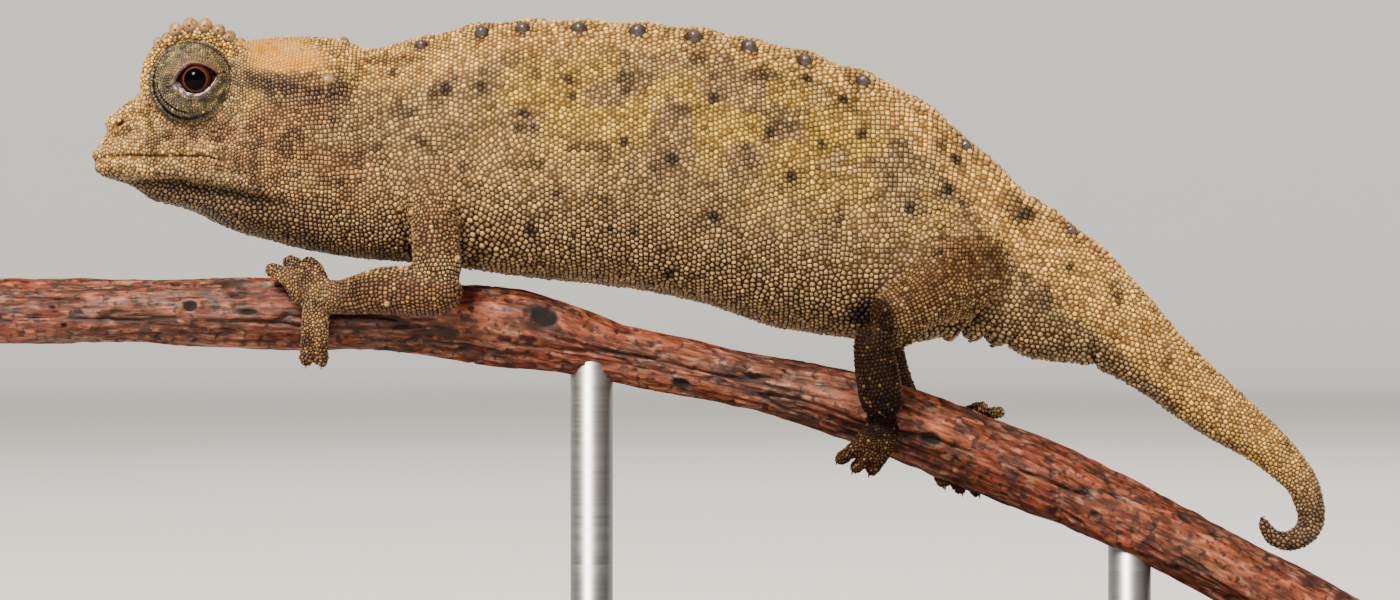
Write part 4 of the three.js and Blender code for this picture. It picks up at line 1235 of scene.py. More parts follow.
def domes(roots, normals, reach, height, profile):
    """A closed dome on each root: rings of corners that follow the profile from the outline to the
    crown, one point at the crown and one under the root. Returns the shell, each point's scale and
    how high on it the point is from 0 to 1."""
    a, b = frames(normals)
    sides = reach.shape[1]
    turn = np.linspace(0, 2 * np.pi, sides, endpoint=False)
    spokes = a[:, None] * np.cos(turn)[:, None] + b[:, None] * np.sin(turn)[:, None]
    rings = [
        roots[:, None] + spokes * (wide * reach)[..., None]
        + (normals * (tall * height)[:, None])[:, None]
        for wide, tall in profile
    ]
    crown = (roots + normals * height[:, None])[:, None]
    under = (roots - normals * (0.45 * height)[:, None])[:, None]
    points = np.concatenate(rings + [crown, under], axis=1)
    rows = len(profile)
    corner, following = np.arange(sides), (np.arange(sides) + 1) % sides
    pattern = []
    for row in range(rows - 1):
        low, high = row * sides, (row + 1) * sides
        pattern.append(np.stack([low + corner, low + following, high + following], axis=1))
        pattern.append(np.stack([low + corner, high + following, high + corner], axis=1))
    last = (rows - 1) * sides
    pattern.append(np.stack([last + corner, last + following, np.full(sides, rows * sides)], axis=1))
    pattern.append(np.stack([following, corner, np.full(sides, rows * sides + 1)], axis=1))
    pattern = np.vstack(pattern)
    each = points.shape[1]
    faces = (pattern + np.arange(len(roots))[:, None, None] * each).reshape(-1, 3)
    rise = np.concatenate([np.repeat([max(0, tall) for _, tall in profile], sides), [1, 0]])
    shell = (points.reshape(-1, 3), np.empty((0, 4), int), faces)
    spread = np.concatenate([
        np.concatenate([wide * np.stack([np.cos(turn), np.sin(turn)], 1) for wide, _ in profile]),
        [[0, 0], [0, 0]],
    ])
    return shell, np.repeat(np.arange(len(roots)), each), np.tile(rise, len(roots)), np.tile(
        spread, (len(roots), 1))


def coat_piece(name, roots, normals, reach, height, profile, own, unwrap, marks, material):
    """One piece of coat. Its OFBake map has each scale as a patch two PATCH across at its root's
    place on the unwrap of the skin, which is brought to fill the map."""
    shell, scale, rise, spread = domes(roots, normals, reach, height, profile)
    values = {key: value[scale] for key, value in marks.items()}
    values["rise"] = rise
    values["own"] = own[scale]
    values["root"] = (roots[scale] + SNOUT) * MM
    mesh = piece(name, shell, material, values).data
    low, high = unwrap.min(0), unwrap.max(0)
    place = 0.02 + 0.96 * (unwrap - low) / np.maximum(high - low, 1e-6)
    flat = place[scale] + PATCH * spread
    corners = np.empty(len(mesh.loops), np.int32)
    mesh.loops.foreach_get("vertex_index", corners)
    mesh.uv_layers.new(name="OFBake").data.foreach_set(
        "uv", flat[corners].astype(np.float32).ravel())
    print(name, len(roots), "scales", len(shell[2]), "triangles")


def coat_seeds():
    """Where scales may stand, best first: arcs about the shoulders, rings round the body, rings round
    the limbs and then anywhere on the skin."""
    lists = [np.vstack([shoulder_arcs(-1), shoulder_arcs(1)]), body_rings()]
    rings = []
    for side in (-1, 1):
        for name in ("arm", "forearm", "thigh", "shank"):
            rings.append(limb_rings(np.array(LIMBS[side][name]) * (1, side, 1, 1), 0.215))
    lists.append(np.vstack(rings))
    loose = np.vstack(lists)
    rank = np.repeat(np.arange(3.0), [len(p) for p in lists])
    places, _, _ = on_skin(loose)
    near = np.linalg.norm(places - loose, axis=1) < 0.34
    wander = 0.16 * (noise(places[near][:, None] + 40 * np.eye(3), 0.45) - 0.5)
    places = np.vstack([places[near] + wander, SKIN_POINTS])
    rank = np.concatenate([rank[near], np.full(len(SKIN_POINTS), 3.0)])
    return places, rank


def coat():
    """Settles the scales on the whole skin and works out what each is like."""
    draw = np.random.default_rng(5)
    points, rank = coat_seeds()
    along, up, t = body_place(points)
    limb = limb_share(points, up, t)
    pitch = pitch_at(points, up, limb)
    kept = thinned(points, rank + draw.random(len(points)) * 0.9, 0.80 * pitch)
    kept &= turret_gap(points) > TURRET[0] - 0.45
    uneven = 0.17 + 0.10 * limb[kept]
    points, pitch = points[kept], pitch[kept] * (1 + uneven * draw.uniform(-1, 1, kept.sum()))
    points, normals, face = settled(points, pitch, 5)
    bare = SKIN_BARE[SKIN_QUADS[face]].any(1) | (turret_gap(points) < TURRET[0] - 0.28)
    gap = np.linalg.norm(points[:, None] - cone_roots(), axis=2).min(1)
    bare |= gap < 0.34
    degrees, wide, out = np.array(BROW_KNOBS).T
    ways = np.stack([np.cos(np.radians(degrees)), np.sin(np.radians(degrees))], axis=1)
    faces = (BROW[0], BROW[2]) + (out - 0.95 * wide)[:, None] * ways
    gap = np.linalg.norm(points[:, None, ::2] - faces, axis=2) / wide
    bare |= (gap[:, wide > 0.26].min(1) < 0.85) & (np.abs(points[:, 1]) > 1.7)
    points, normals, pitch, face = points[~bare], normals[~bare], pitch[~bare], face[~bare]
    along, up, t = body_place(points)
    limb = limb_share(points, up, t)
    height = pitch * (0.27 + 0.10 * smooth(-up, 0.3, 0.8) + 0.08 * smooth(up, 0.7, 0.9) - 0.05 * limb)
    patch = markings(points)["marks"][:, 3]
    height = height * (1 - 0.6 * patch) * draw.uniform(0.7, 1.35, len(points))
    # Scales in a crease are darkened by its depth as painted shade.
    deep = SKIN_CREASE_SHADE[SKIN_QUADS[face]].mean(1)
    return {
        "roots": points, "normals": normals, "height": height, "deep": deep,
        "along": along, "up": up, "limb": limb, "own": blend(draw.random(len(points)), 0.5, 0.8 * patch),
        "reach": outlines(points, normals, pitch),
    }


def region_of(scales):
    """Which piece of coat each scale belongs to."""
    x, y = scales["roots"][:, 0], scales["roots"][:, 1]
    side = np.where(y < 0, "left", "right")
    part = np.select(
        [(scales["limb"] > 0.5) & (x < 30), scales["limb"] > 0.5,
         x < 8.2, x < 15.5, x < 23.5, x < 32.0, x < 40.0, x < 47.5],
        ["arm", "leg", "face", "head", "shoulder", "ribs", "belly", "hips"], "tail")
    return np.char.add(np.char.add(part.astype(str), "_"), side)


def unwrapped(roots, along, up):
    """The skin laid flat: mm along the body, and the way round it from the top as an angle."""
    return np.stack([along, np.arctan2(roots[:, 1], 3.5 * up)], axis=1)


SCALES = coat()
REGIONS = region_of(SCALES)
ALL_MARKS = {**markings(SCALES["roots"]), "deep": SCALES["deep"]}
for region in sorted(set(REGIONS)):
    here = REGIONS == region
    fine = region.startswith("face")
    flat = unwrapped(SCALES["roots"][here], SCALES["along"][here], SCALES["up"][here])
    if region.startswith(("arm", "leg")):
        flat = flat + np.stack([0 * flat[:, 0], SCALES["roots"][here][:, 2]], axis=1)
    coat_piece(
        f"coat_{region}", SCALES["roots"][here], SCALES["normals"][here], SCALES["reach"][here],
        SCALES["height"][here], BEAD if fine else GRANULE, SCALES["own"][here], flat,
        {key: value[here] for key, value in ALL_MARKS.items()},
        LEG_FINISH if region.startswith("leg") else COAT_FINISH)

# ---- Cones and knobs ---------------------------------------------------------------------------

LIMB_CONES = (  # x, z and width of the pale cones on the arm, the hand and the thigh
    (15.9, -2.75, 0.34), (16.6, -3.0, 0.40), (16.5, -5.0, 0.36), (18.9, -5.3, 0.38),
    (14.4, -6.05, 0.44), (16.1, -5.85, 0.38), (15.4, -7.6, 0.42), (41.6, -6.9, 0.34),
)


def big_scales(places, towards, width, height, rough=0.08, corners=12):
    """Larger scales: roots on the skin nearest to places, pointing part way towards, with outlines
    of that half width made a little uneven."""
    roots, normals, _ = on_skin(places)
    normals = unit(normals + towards)
    draw = np.random.default_rng(len(places))
    reach = width[:, None] * (1 + rough * draw.uniform(-1, 1, (len(places), corners)))
    return roots, normals, reach, height


def cone_piece(name, made, profile, material, colour_marks):
    """Big scales as one piece of coat, with markings of their own where colour_marks has them."""
    roots, normals, reach, height = made
    along, up, _ = body_place(roots)
    marks = {**markings(roots), "deep": np.zeros(len(roots))}
    for key, value in colour_marks.items():
        marks[key] = np.tile(value, (len(roots), 1)).astype(float)
    own = np.random.default_rng(3).uniform(0.45, 0.8, len(roots))
    coat_piece(name, roots, normals, reach, height, profile, own,
               unwrapped(roots, along, up), marks, material)


def cone_keratin():
    """The back's cones: smooth keratin, dark brown at the root, slate grey up the sides and bluish
    white at the tip, partly pale keratin and partly a painted highlight."""
    made, tree, out = finish("slate_cone_keratin")
    rise = attribute(tree, "rise")
    place = object_place(tree)
    streak = clouds(tree, place, 0.22, 2.0)
    height = add(tree, "Math", {0: streak, 1: 0.7, 2: rise}, operation="MULTIPLY_ADD").outputs[0]
    colour = add(tree, "ValToRGB", {0: ranged(tree, height, 0.25, 1.6)}, stops=[
        (0.0, linear("1A100A")), (0.40, linear("2C1F18")), (0.75, linear("463B36")),
        (1.0, linear("7E7A7C"))]).outputs[0]
    return surfaced(made, tree, out, {"Base Color": colour, "Roughness": 0.24})


def back_cones():
    """The cones along the back, widest at mid-back, leaning outwards and a little up."""
    roots = cone_roots()
    lean = np.sign(roots[:, 1:2]) * np.array([[0.0, 0.45, 0.0]]) + np.array([[0.0, 0.0, 0.15]])
    size = np.tile(np.interp(CONES_X, [17, 20, 30, 40, 49], [0.38, 0.46, 0.54, 0.46, 0.36]), 2)
    made = big_scales(roots, lean, size, 0.85 * size, 0.14)
    cone_piece("coat_back_cones", made, CONE, cone_keratin(), {})


def brow_knobs():
    """The smooth knobs along each brow, one dome to each, pointing out from the eye: roots, ways,
    half widths and heights. Each has a dark pore on its outer face, as roots and ways."""
    sides = np.repeat([-1.0, 1.0], len(BROW_KNOBS))
    degrees, wide, out = np.tile(np.array(BROW_KNOBS), (2, 1)).T
    turn = np.radians(degrees)
    way = np.stack([np.cos(turn), 0.10 * sides, np.sin(turn)], axis=1)
    wide = 1.08 * wide
    large = wide > 0.28
    tall = np.minimum(out - 2.62, np.where(large, 1.8, 1.2) * wide)
    inset = np.where(large, 0.14, 0.26)
    middle = np.stack([0 * sides + BROW[0], sides * (BROW[1] - inset), 0 * sides + BROW[2]], axis=1)
    roots = middle + (out - tall)[:, None] * way
    across = np.stack([0 * sides, sides, 0 * sides], axis=1)
    pores = roots + (0.42 * tall)[:, None] * way + (0.99 * wide)[:, None] * across
    return roots, unit(way), wide, tall, pores[large], across[large]


def knob_keratin():
    """The brow's knobs: one worn scale to each, peach coloured with brown flecks and browner towards
    the root, with wrinkles 0.14 mm apart."""
    made, tree, out = finish("brow_knob_keratin")
    place = object_place(tree)
    rise = attribute(tree, "rise")
    blot, fleck = (clouds(tree, place, size, 2.0) for size in (0.40, 0.14))
    colour = stained(tree, linear("946E3E"), (
        ("664420", blot, 0.44, 0.62, 0.75), ("A98650", fleck, 0.52, 0.66, 0.6),
        ("4C301A", fleck, 0.46, 0.34, 0.5),
    ))
    colour = mixed(tree, linear("3A2412"), colour, ranged(tree, rise, 0.05, 0.55))
    bump = add(tree, "Bump", {"Strength": 0.7, "Distance": 0.03 * MM, "Height": fleck}).outputs[0]
    return surfaced(made, tree, out, {"Base Color": colour, "Roughness": 0.46, "Normal": bump})


PALE = {"marks": (0.55, 0, 0.30, 0), "more_marks": (0, 0, 0, 0)}
PALE_GREY = {"marks": (0.45, 0, 0.3, 0), "more_marks": (0, 0, 0.4, 0)}
DARK_PORE = {"marks": (0, 0.80, 0, 0), "more_marks": (0, 0, 0.4, 0)}
PORE_RADIUS = 0.062


def brow_scales():
    """The brow's knobs as domes of 14 corners, a little uneven, and their pores as flat beads."""
    roots, ways, wide, tall, pores, across = brow_knobs()
    draw = np.random.default_rng(17)
    reach = wide[:, None] * (1 + 0.09 * draw.uniform(-1, 1, (len(wide), 14)))
    cone_piece("coat_brow_tips", (roots, ways, reach, tall), KNOB, knob_keratin(), PALE)
    reach = np.full((len(pores), SIDES), PORE_RADIUS)
    made = (pores, across, reach, 0.4 * reach[:, 0])
    cone_piece("coat_brow_pores", made, BEAD, COAT_FINISH, DARK_PORE)


def limb_cones():
    """The pale cones on the limbs, on both sides, where a line across the animal meets the skin."""
    places, size = [], []
    for side, (x, z, width) in itertools.product((-1, 1), LIMB_CONES):
        found = cast_on_skin([(x, z)], side)
        if len(found):
            places.append(found[0])
            size.append(width / 2)
    size = np.array(size)
    made = big_scales(np.array(places), np.zeros((len(places), 3)), size, size)
    cone_piece("coat_limb_cones", made, CONE, COAT_FINISH, PALE)


def crown_nubs():
    """Two nubs at the back of the crown and a flat one on each temple."""
    places = np.array([(12.85, 0.0, 6.1), (12.85, 0.35, 6.0), (12.36, 3.0, 4.0), (12.36, -3.0, 4.0)])
    size = np.array([0.30, 0.2, 0.40, 0.40])
    made = big_scales(places, np.zeros((4, 3)), size, size * (1.0, 0.9, 0.35, 0.35))
    cone_piece("coat_crown_nubs", made, CONE, COAT_FINISH, PALE_GREY)


back_cones()
brow_scales()
limb_cones()
crown_nubs()

# ---- Eyes --------------------------------------------------------------------------------------

OPENING = (1.10, 0.82, 16.0)  # half length and half height of the lids' opening, and its tilt


def opening_reach(turn):
    """How far the edge of the lids is from the eye's centre: a pointed oval,
    (|cos|^p / length^p + |sin|^p / height^p)^(-1/p) with p 1.55, tilted up towards the rear."""
    long, tall, tilt = OPENING
    turned = turn - math.radians(tilt)
    power = 1.55
    return ((np.abs(np.cos(turned)) / long) ** power
            + (np.abs(np.sin(turned)) / tall) ** power) ** (-1 / power)


def turret_relief(u, w):
    """The folds in the turret's skin in mm: rings near its rim, deepest below and in front, a crease
    from each corner of the lids, and a swelling round the opening."""
    r = np.hypot(u, w)
    turn = np.arctan2(w, u)
    low_front = 0.42 + 0.58 * bell(turned_from(turn, 222), 1.25)
    wander = 0.03 * np.sin(3 * turn + 1.0)
    out = -0.22 * bell(r - 2.08 - wander, 0.055 + 0.020 * low_front) * (0.30 + low_front)
    out += -0.34 * bell(r - 1.82 - wander, 0.100) * low_front**2
    out += -0.17 * bell(r - 1.56 + wander, 0.060) * low_front**2
    out += 0.10 * bell(r - 1.96 - wander, 0.060) * low_front
    out += 0.08 * bell(r - 1.73 - wander, 0.060) * low_front
    eu, ew = u - (EYEBALL[0] - EYE[0]), w - (EYEBALL[2] - EYE[2])
    tilt = math.radians(OPENING[2])
    long = eu * math.cos(tilt) + ew * math.sin(tilt)
    tall = -eu * math.sin(tilt) + ew * math.cos(tilt)
    crease = bell(tall, 0.07) * smooth(np.abs(long), 0.85, 1.05) * (1 - smooth(np.abs(long), 1.35, 1.8))
    rim = np.hypot(eu, ew) - opening_reach(np.arctan2(ew, eu))
    out += -0.12 * crease + 0.05 * bell(rim - 0.12, 0.12) - 0.04 * bell(rim - 0.36, 0.08)
    return out


def turret_front(u, w):
    """How far out the turret's skin is at offsets u, w from its axis: an ellipsoid with the folds."""
    r = np.hypot(u, w)
    dome = np.sqrt(np.clip(1 - (r / TURRET[0]) ** 2, 0, 1))
    return EYE[1] - 0.06 + TURRET[1] * dome + turret_relief(u, w) * smooth(dome, 0.0, 0.3)


def turret(side, columns=220):
    """An eye turret: rings that go up its wall inside the head, over its front to the edge of the
    lids, round that edge and down to the eyeball, and close behind the eyeball's front. Also which
    of its points are lid edge and lining."""
    turn = np.linspace(0, 2 * np.pi, columns, endpoint=False)
    spoke = np.stack([np.cos(turn), np.sin(turn)], axis=1)
    rows, out, edge = [], [], []
    for radius, depth in ((0.6, 0.9), (1.7, 0.92), (1.98, 1.2), (2.08, 1.7), (2.13, 2.0)):
        rows.append(radius * spoke)
        out.append(np.full(columns, depth))
        edge.append(0.0)
    middle = np.array([EYEBALL[0] - EYE[0], EYEBALL[2] - EYE[2]])
    lids = middle + opening_reach(turn)[:, None] * spoke
    for share in np.linspace(0, 1, 90):
        flat = blend(2.16 * spoke, lids, share)
        rows.append(flat)
        out.append(turret_front(flat[:, 0], flat[:, 1]))
        edge.append(smooth(share, 0.93, 1.0))
    rest = out[-1]
    for share, drop in ((0.975, -0.012), (0.945, 0.012), (0.915, 0.06), (0.895, 0.13)):
        rows.append(middle + (lids - middle) * share)
        out.append(rest - drop)
        edge.append(1.0)
    for radius, depth in ((0.86, 3.95), (0.80, 3.90), (0.5, 3.8), (0.1, 3.7)):
        reach = np.minimum(0.88 * np.linalg.norm(lids - middle, axis=1), radius)
        rows.append(middle + reach[:, None] * spoke)
        out.append(np.minimum(np.full(columns, depth), rest - 0.15))
        edge.append(1.0)
    flat, out = np.array(rows), np.array(out)
    points = np.stack([EYE[0] + flat[..., 0], side * out, EYE[2] + flat[..., 1]], axis=-1)
    edge = np.append(np.repeat(edge, columns), [0, 1])
    return closed_grid(points), edge


def turret_seeds(side):
    """Places for granules in rings from the turret's rim in to the lids."""
    middle = np.array([EYEBALL[0] - EYE[0], EYEBALL[2] - EYE[2]])
    found = []
    for row, share in enumerate(np.linspace(0.0, 1.0, 15)[:-1]):
        turn = np.linspace(0, 2 * np.pi, 721)
        spoke = np.stack([np.cos(turn), np.sin(turn)], axis=1)
        lids = middle + (opening_reach(turn) + 0.13)[:, None] * spoke
        flat = blend(2.14 * spoke, lids, share)
        step = np.concatenate([[0], np.cumsum(np.linalg.norm(np.diff(flat, axis=0), axis=1))])
        number = round(step[-1] / blend(0.155, 0.13, share))
        wanted = bricks(number, row, step[-1])
        found.append(np.stack([np.interp(wanted, step, flat[:, k]) for k in range(2)], axis=1))
    flat = np.vstack(found) + np.random.default_rng(8).normal(0, 0.02, (sum(map(len, found)), 2))
    out = turret_front(flat[:, 0], flat[:, 1])
    return np.stack([EYE[0] + flat[:, 0], side * out, EYE[2] + flat[:, 1]], axis=1)


def eye_marks(points):
    """Markings of the turret: how deep the folds are, which darkens them as painted shade, and how
    far up the lid a point is.
    """
    u, w = points[:, 0] - EYE[0], points[:, 2] - EYE[2]
    eu, ew = points[:, 0] - EYEBALL[0], points[:, 2] - EYEBALL[2]
    rim = np.hypot(eu, ew) - opening_reach(np.arctan2(ew, eu))
    fold = smooth(-turret_relief(u, w), 0.04, 0.13)
    upper = smooth(ew, -0.1, 0.5) * bell(rim, 0.55)
    return {"fold": fold, "upper_lid": upper}


def eyelid_tones(tree, place, crown, own=None):
    """Olive grey with brown and straw granules, tan on the upper lid, darker between granules and
    near black in the folds, both as painted shade.
    """
    fold = attribute(tree, "fold")
    upper = attribute(tree, "upper_lid")
    wide = clouds(tree, place, 0.8, 2.0)
    fine = clouds(tree, place, 0.35, 1.0)
    colour = mixed(tree, linear("564C31"), linear("34291D"), ranged(tree, wide, 0.42, 0.58))
    colour = mixed(tree, colour, linear("847549"), ranged(tree, fine, 0.48, 0.64, 0, 0.8))
    colour = mixed(tree, colour, linear("6C5130"), ranged(tree, upper, 0, 1, 0, 0.75))
    shaded = toned(tree, colour, 0.42, 0.36, 0.28)
    colour = mixed(tree, shaded, colour, crown)
    if own is not None:
        straw = toned(tree, colour, 1.7, 1.65, 1.4)
        colour = mixed(tree, colour, straw, ranged(tree, own, 0.80, 0.95))
        colour = tinted(tree, colour, 0.60, 1.30, own)
    return mixed(tree, colour, linear("0C0805"), ranged(tree, fold, 0, 1, 0, 0.9))


def eyelid_skin():
    """The fused lids between their granules, and their moist edge: dark brown above as painted
    shadow under the upper lid, bluish white flecks below as painted wet glints.
    """
    made, tree, out = finish("eyelid_skin")
    place = object_place(tree)
    colour = eyelid_tones(tree, place, 0.35)
    edge = attribute(tree, "edge")
    height = add(tree, "SeparateXYZ", {0: place}).outputs[2]
    middle = (SNOUT[2] + EYEBALL[2]) * MM
    fleck = clouds(tree, place, 0.22, 2.0)
    # Painted light and shade on the lid lining: the upper lid's shadow above the eye's middle, wet glints
    # below.
    below = ranged(tree, height, middle - 0.10 * MM, middle - 0.40 * MM)
    pale = mixed(tree, linear("4A3A34"), linear("A9ADB6"), ranged(tree, fleck, 0.42, 0.58))
    edge_light_and_shade = mixed(tree, linear("27130D"), pale, below)
    colour = mixed(tree, colour, edge_light_and_shade, ranged(tree, edge, 0.35, 1))
    rough = ranged(tree, edge, 0.3, 1, 0.55, 0.18)
    return surfaced(made, tree, out, {"Base Color": colour, "Roughness": rough})


def eyelid_granules():
    """Fine granules on the lids, 0.15 mm apart."""
    made, tree, out = finish("eyelid_granules")
    place = attribute(tree, "root", "Vector")
    rise = attribute(tree, "rise")
    own = attribute(tree, "own")
    colour = eyelid_tones(tree, place, ranged(tree, rise, 0.1, 0.8), own)
    return surfaced(made, tree, out, {"Base Color": colour, "Roughness": 0.45})


def cornea():
    """A living eye's wet cornea over a black pupil and a copper iris, with a dark rim. The colours
    go by distance from the eye's axis."""
    made, tree, out = finish("wet_cornea")
    place = object_place(tree)
    centre = ((SNOUT[0] + EYEBALL[0]) * MM, 0, (SNOUT[2] + EYEBALL[2]) * MM)
    offset = add(tree, "VectorMath", {0: place, 1: centre}, operation="SUBTRACT").outputs[0]
    flat = add(tree, "VectorMath", {0: offset, 1: (1000.0, 0.0, 1000.0)}, operation="MULTIPLY").outputs[0]
    far = add(tree, "VectorMath", {0: flat}, operation="LENGTH").outputs["Value"]
    streaks = add(tree, "TexNoise", {"Vector": flat, "Scale": 7.0, "Detail": 3.0}).outputs[0]
    wavy = add(tree, "Math", {0: streaks, 1: 0.05, 2: far}, operation="MULTIPLY_ADD").outputs[0]
    colour = add(tree, "ValToRGB", {0: ranged(tree, wavy, 0.5, 0.90)}, stops=[
        (0.0, linear("010101")), (0.18, linear("010101")), (0.22, linear("2A140D")),
        (0.27, linear("593A31")), (0.33, linear("3C1C10")), (0.52, linear("3A170B")),
        (0.72, linear("1A0905")), (1.0, linear("0A0403"))]).outputs[0]
    return surfaced(made, tree, out, {
        "Base Color": colour, "Roughness": 0.10, "Specular IOR Level": 0.05})


def eyeball(side):
    """A ball with its poles on the eye's axis, bulging by 0.03 mm over the pupil. It is wider than
    the solid by the lids' thickness, and set as much deeper."""
    down = np.linspace(0.02, np.pi - 0.02, 60)[:, None]
    turn = np.linspace(0, 2 * np.pi, 72, endpoint=False)
    radius = EYEBALL_RADIUS + 0.11 + 0.03 * bell(down, 0.7)
    shape = radius[..., None] * np.stack(np.broadcast_arrays(
        np.sin(down) * np.cos(turn), side * np.cos(down), np.sin(down) * np.sin(turn)), axis=-1)
    return closed_grid(shape + np.array([EYEBALL[0], side * (EYEBALL[1] - 0.14), EYEBALL[2]]))


EYELID_FINISH, GRANULE_FINISH, CORNEA = eyelid_skin(), eyelid_granules(), cornea()
LID_PITCH = 0.15  # mm between the lids' granules
DEEP_FOLD = 0.65  # from 0 to 1, how deep a fold is that granules stay out of


def eye_parts(side, label):
    """A turret, its eyeball and the granules on its lids, which stay out of the deep folds."""
    shell, edge = turret(side)
    piece(f"turret_{label}", shell, EYELID_FINISH,
          {**eye_marks(shell[0]), "edge": edge}, [f"eye_turret_{label}"])
    piece(f"eye_{label}", eyeball(side), CORNEA, None, [f"eyeball_{label}"])
    tree = BVHTree.FromPolygons(shell[0].tolist(), shell[1].tolist())
    normals = vertex_normals(shell[0], shell[1])
    roots, normals, _ = nearest_on(tree, shell[1], normals, turret_seeds(side))
    marks = eye_marks(roots)
    clear = marks["fold"] < DEEP_FOLD
    roots, normals = roots[clear], normals[clear]
    draw = np.random.default_rng(21)
    pitch = LID_PITCH * draw.uniform(0.8, 1.2, len(roots))
    turn = np.arctan2(roots[:, 2] - EYE[2], roots[:, 0] - EYE[0])
    flat = np.stack([turn, np.hypot(roots[:, 2] - EYE[2], roots[:, 0] - EYE[0])], axis=1)
    coat_piece(
        f"coat_lids_{label}", roots, normals, outlines(roots, normals, pitch),
        0.045 * draw.uniform(0.7, 1.4, len(roots)), GRANULE, draw.random(len(roots)), flat,
        {key: value[clear] for key, value in marks.items()}, GRANULE_FINISH)


for side, label in ((-1, "left"), (1, "right")):
    eye_parts(side, label)

# ---- Claws -------------------------------------------------------------------------------------


def claw(tip, forward):
    """A small hooked claw: a cone about 0.3 mm long whose line bends down by a quarter turn."""
    side = unit(np.cross(forward, (0.0, 0.0, 1.0)) + 1e-6)
    down = np.cross(side, forward)
    down = down * (1 if down[2] < 0 else -1)
    share = np.linspace(0, 1, 9)[:, None]
    bend = share * math.pi / 2
    line = tip - 0.10 * forward + 0.30 * (forward * np.sin(bend) * 0.9 + down * (1 - np.cos(bend)) * 0.5)
    radius = 0.085 * (1 - share) ** 0.8 + 0.006
    turn = np.linspace(0, 2 * np.pi, 10, endpoint=False)
    ring = side * np.cos(turn)[:, None] * 0.8 + down * np.sin(turn)[:, None]
    return closed_grid(line[:, None] + radius[..., None] * ring)


def claws():
    """A claw on the tip of every toe."""
    shells = []
    for side in (-1, 1):
        for name in ("hand", "foot"):
            for which in ("over", "under"):
                digits, _ = toes(LIMBS[side][name], side, which)
                for rows in digits:
                    forward = unit(rows[2, :3] - rows[1, :3])
                    shells.append(claw(rows[2, :3] - 0.02 * forward, forward))
    return joined(shells)


def horn():
    """Claw horn: smooth grey-brown keratin in soft pale and dark patches about 0.15 mm across."""
    made, tree, out = finish("claw_horn")
    place = object_place(tree)
    bands = clouds(tree, place, 0.15, 2.0)
    colour = mixed(tree, linear("4A3A2C"), linear("8C7A60"), ranged(tree, bands, 0.35, 0.65))
    return surfaced(made, tree, out, {"Base Color": colour, "Roughness": 0.3})


piece("claws", claws(), horn())

# ---- The twig ----------------------------------------------------------------------------------

TWIG_RINGS, TWIG_SIDES = 620, 132
TWIG_GIRTH = 1.9  # the radius at which the grain is laid out round the twig
KNOTS = (  # x, degrees round from the top, half length, half height
    (23.0, -64, 0.75, 0.50), (30.4, -130, 0.45, 0.40), (43.1, -98, 0.60, 0.32), (5.1, -79, 0.38, 0.34),
    (8.1, -88, 0.55, 0.20), (4.2, -32, 0.28, 0.16), (-2.0, -80, 0.20, 0.14), (-1.4, -112, 0.18, 0.14),
    (9.6, 110, 0.6, 0.4), (36.0, 75, 0.7, 0.45), (55.5, -40, 0.4, 0.3), (50.0, 120, 0.5, 0.4),
)
TWIG_T = np.linspace(0, 1, TWIG_RINGS)
TWIG_LINE = through(TWIG, TWIG_T)
TWIG_ALONG = np.concatenate([[0], np.cumsum(np.hypot(*np.diff(TWIG_LINE[:, :2], axis=0).T))])


def twig_relief(along, angle):
    """The weathered wood's surface in mm, then its cracks, knots and pits, as arrays over along and
    angle. A crack follows where noise drawn out along the grain is near its middle; fibres are such
    noise at 0.13 mm; knots are rimmed hollows."""
    around = np.stack([np.cos(angle), np.sin(angle)], axis=-1) * TWIG_GIRTH
    bend = 0.35 * np.sin(along / 5.3) + 0.2 * np.sin(along / 2.1 + 1.0)

    def grain(length, width, shift=0.0):
        """Noise drawn out to length along the twig and width across it."""
        across = (around + bend[..., None] * width * 0.5) / width
        return noise(np.concatenate([(along / length + shift)[..., None], across], axis=-1), 1.0)

    furrow = np.abs(2 * grain(11.0, 1.05) - 1)
    ribs = np.abs(2 * grain(5.0, 0.40, 3.1) - 1)
    fibre = 0.6 * grain(1.3, 0.14, 7.7) + 0.4 * grain(0.8, 0.11, 17.7)
    lumps = 0.6 * grain(1.3, 0.8, 23.0) + 0.4 * grain(0.7, 0.5, 29.0)
    crack = bell(grain(9.0, 0.75, 12.3) - 0.5, 0.035) * smooth(grain(5.0, 1.6, 4.4), 0.42, 0.60)
    split = bell(grain(5.0, 0.36, 20.3) - 0.5, 0.050) * smooth(grain(3.0, 1.0, 9.4), 0.42, 0.60)
    pit = smooth(0.5 * grain(0.5, 0.4, 31.0) + 0.5 * grain(0.33, 0.27, 37.0), 0.64, 0.78)
    out = 0.30 * (furrow - 0.45) + 0.13 * (ribs - 0.45) + 0.07 * (fibre - 0.5) + 0.20 * (lumps - 0.5)
    out += -0.26 * crack - 0.12 * split - 0.10 * pit
    knot = np.zeros_like(along)
    x = np.interp(along, TWIG_ALONG, TWIG_LINE[:, 0])
    for kx, degrees, long, tall in KNOTS:
        turn = turned_from(angle, degrees) * TWIG_GIRTH
        gap = np.hypot((x - kx) / long, turn / tall) + 0.5 * (lumps - 0.5)
        out += 0.07 * bell(gap - 1.20, 0.35) - 0.16 * bell(gap, 0.75) + 0.10 * (fibre - 0.5) * bell(gap, 0.8)
        knot = np.maximum(knot, 1 - smooth(gap, 0.70, 1.25))
    return out, np.maximum(crack, 0.7 * split), knot, pit


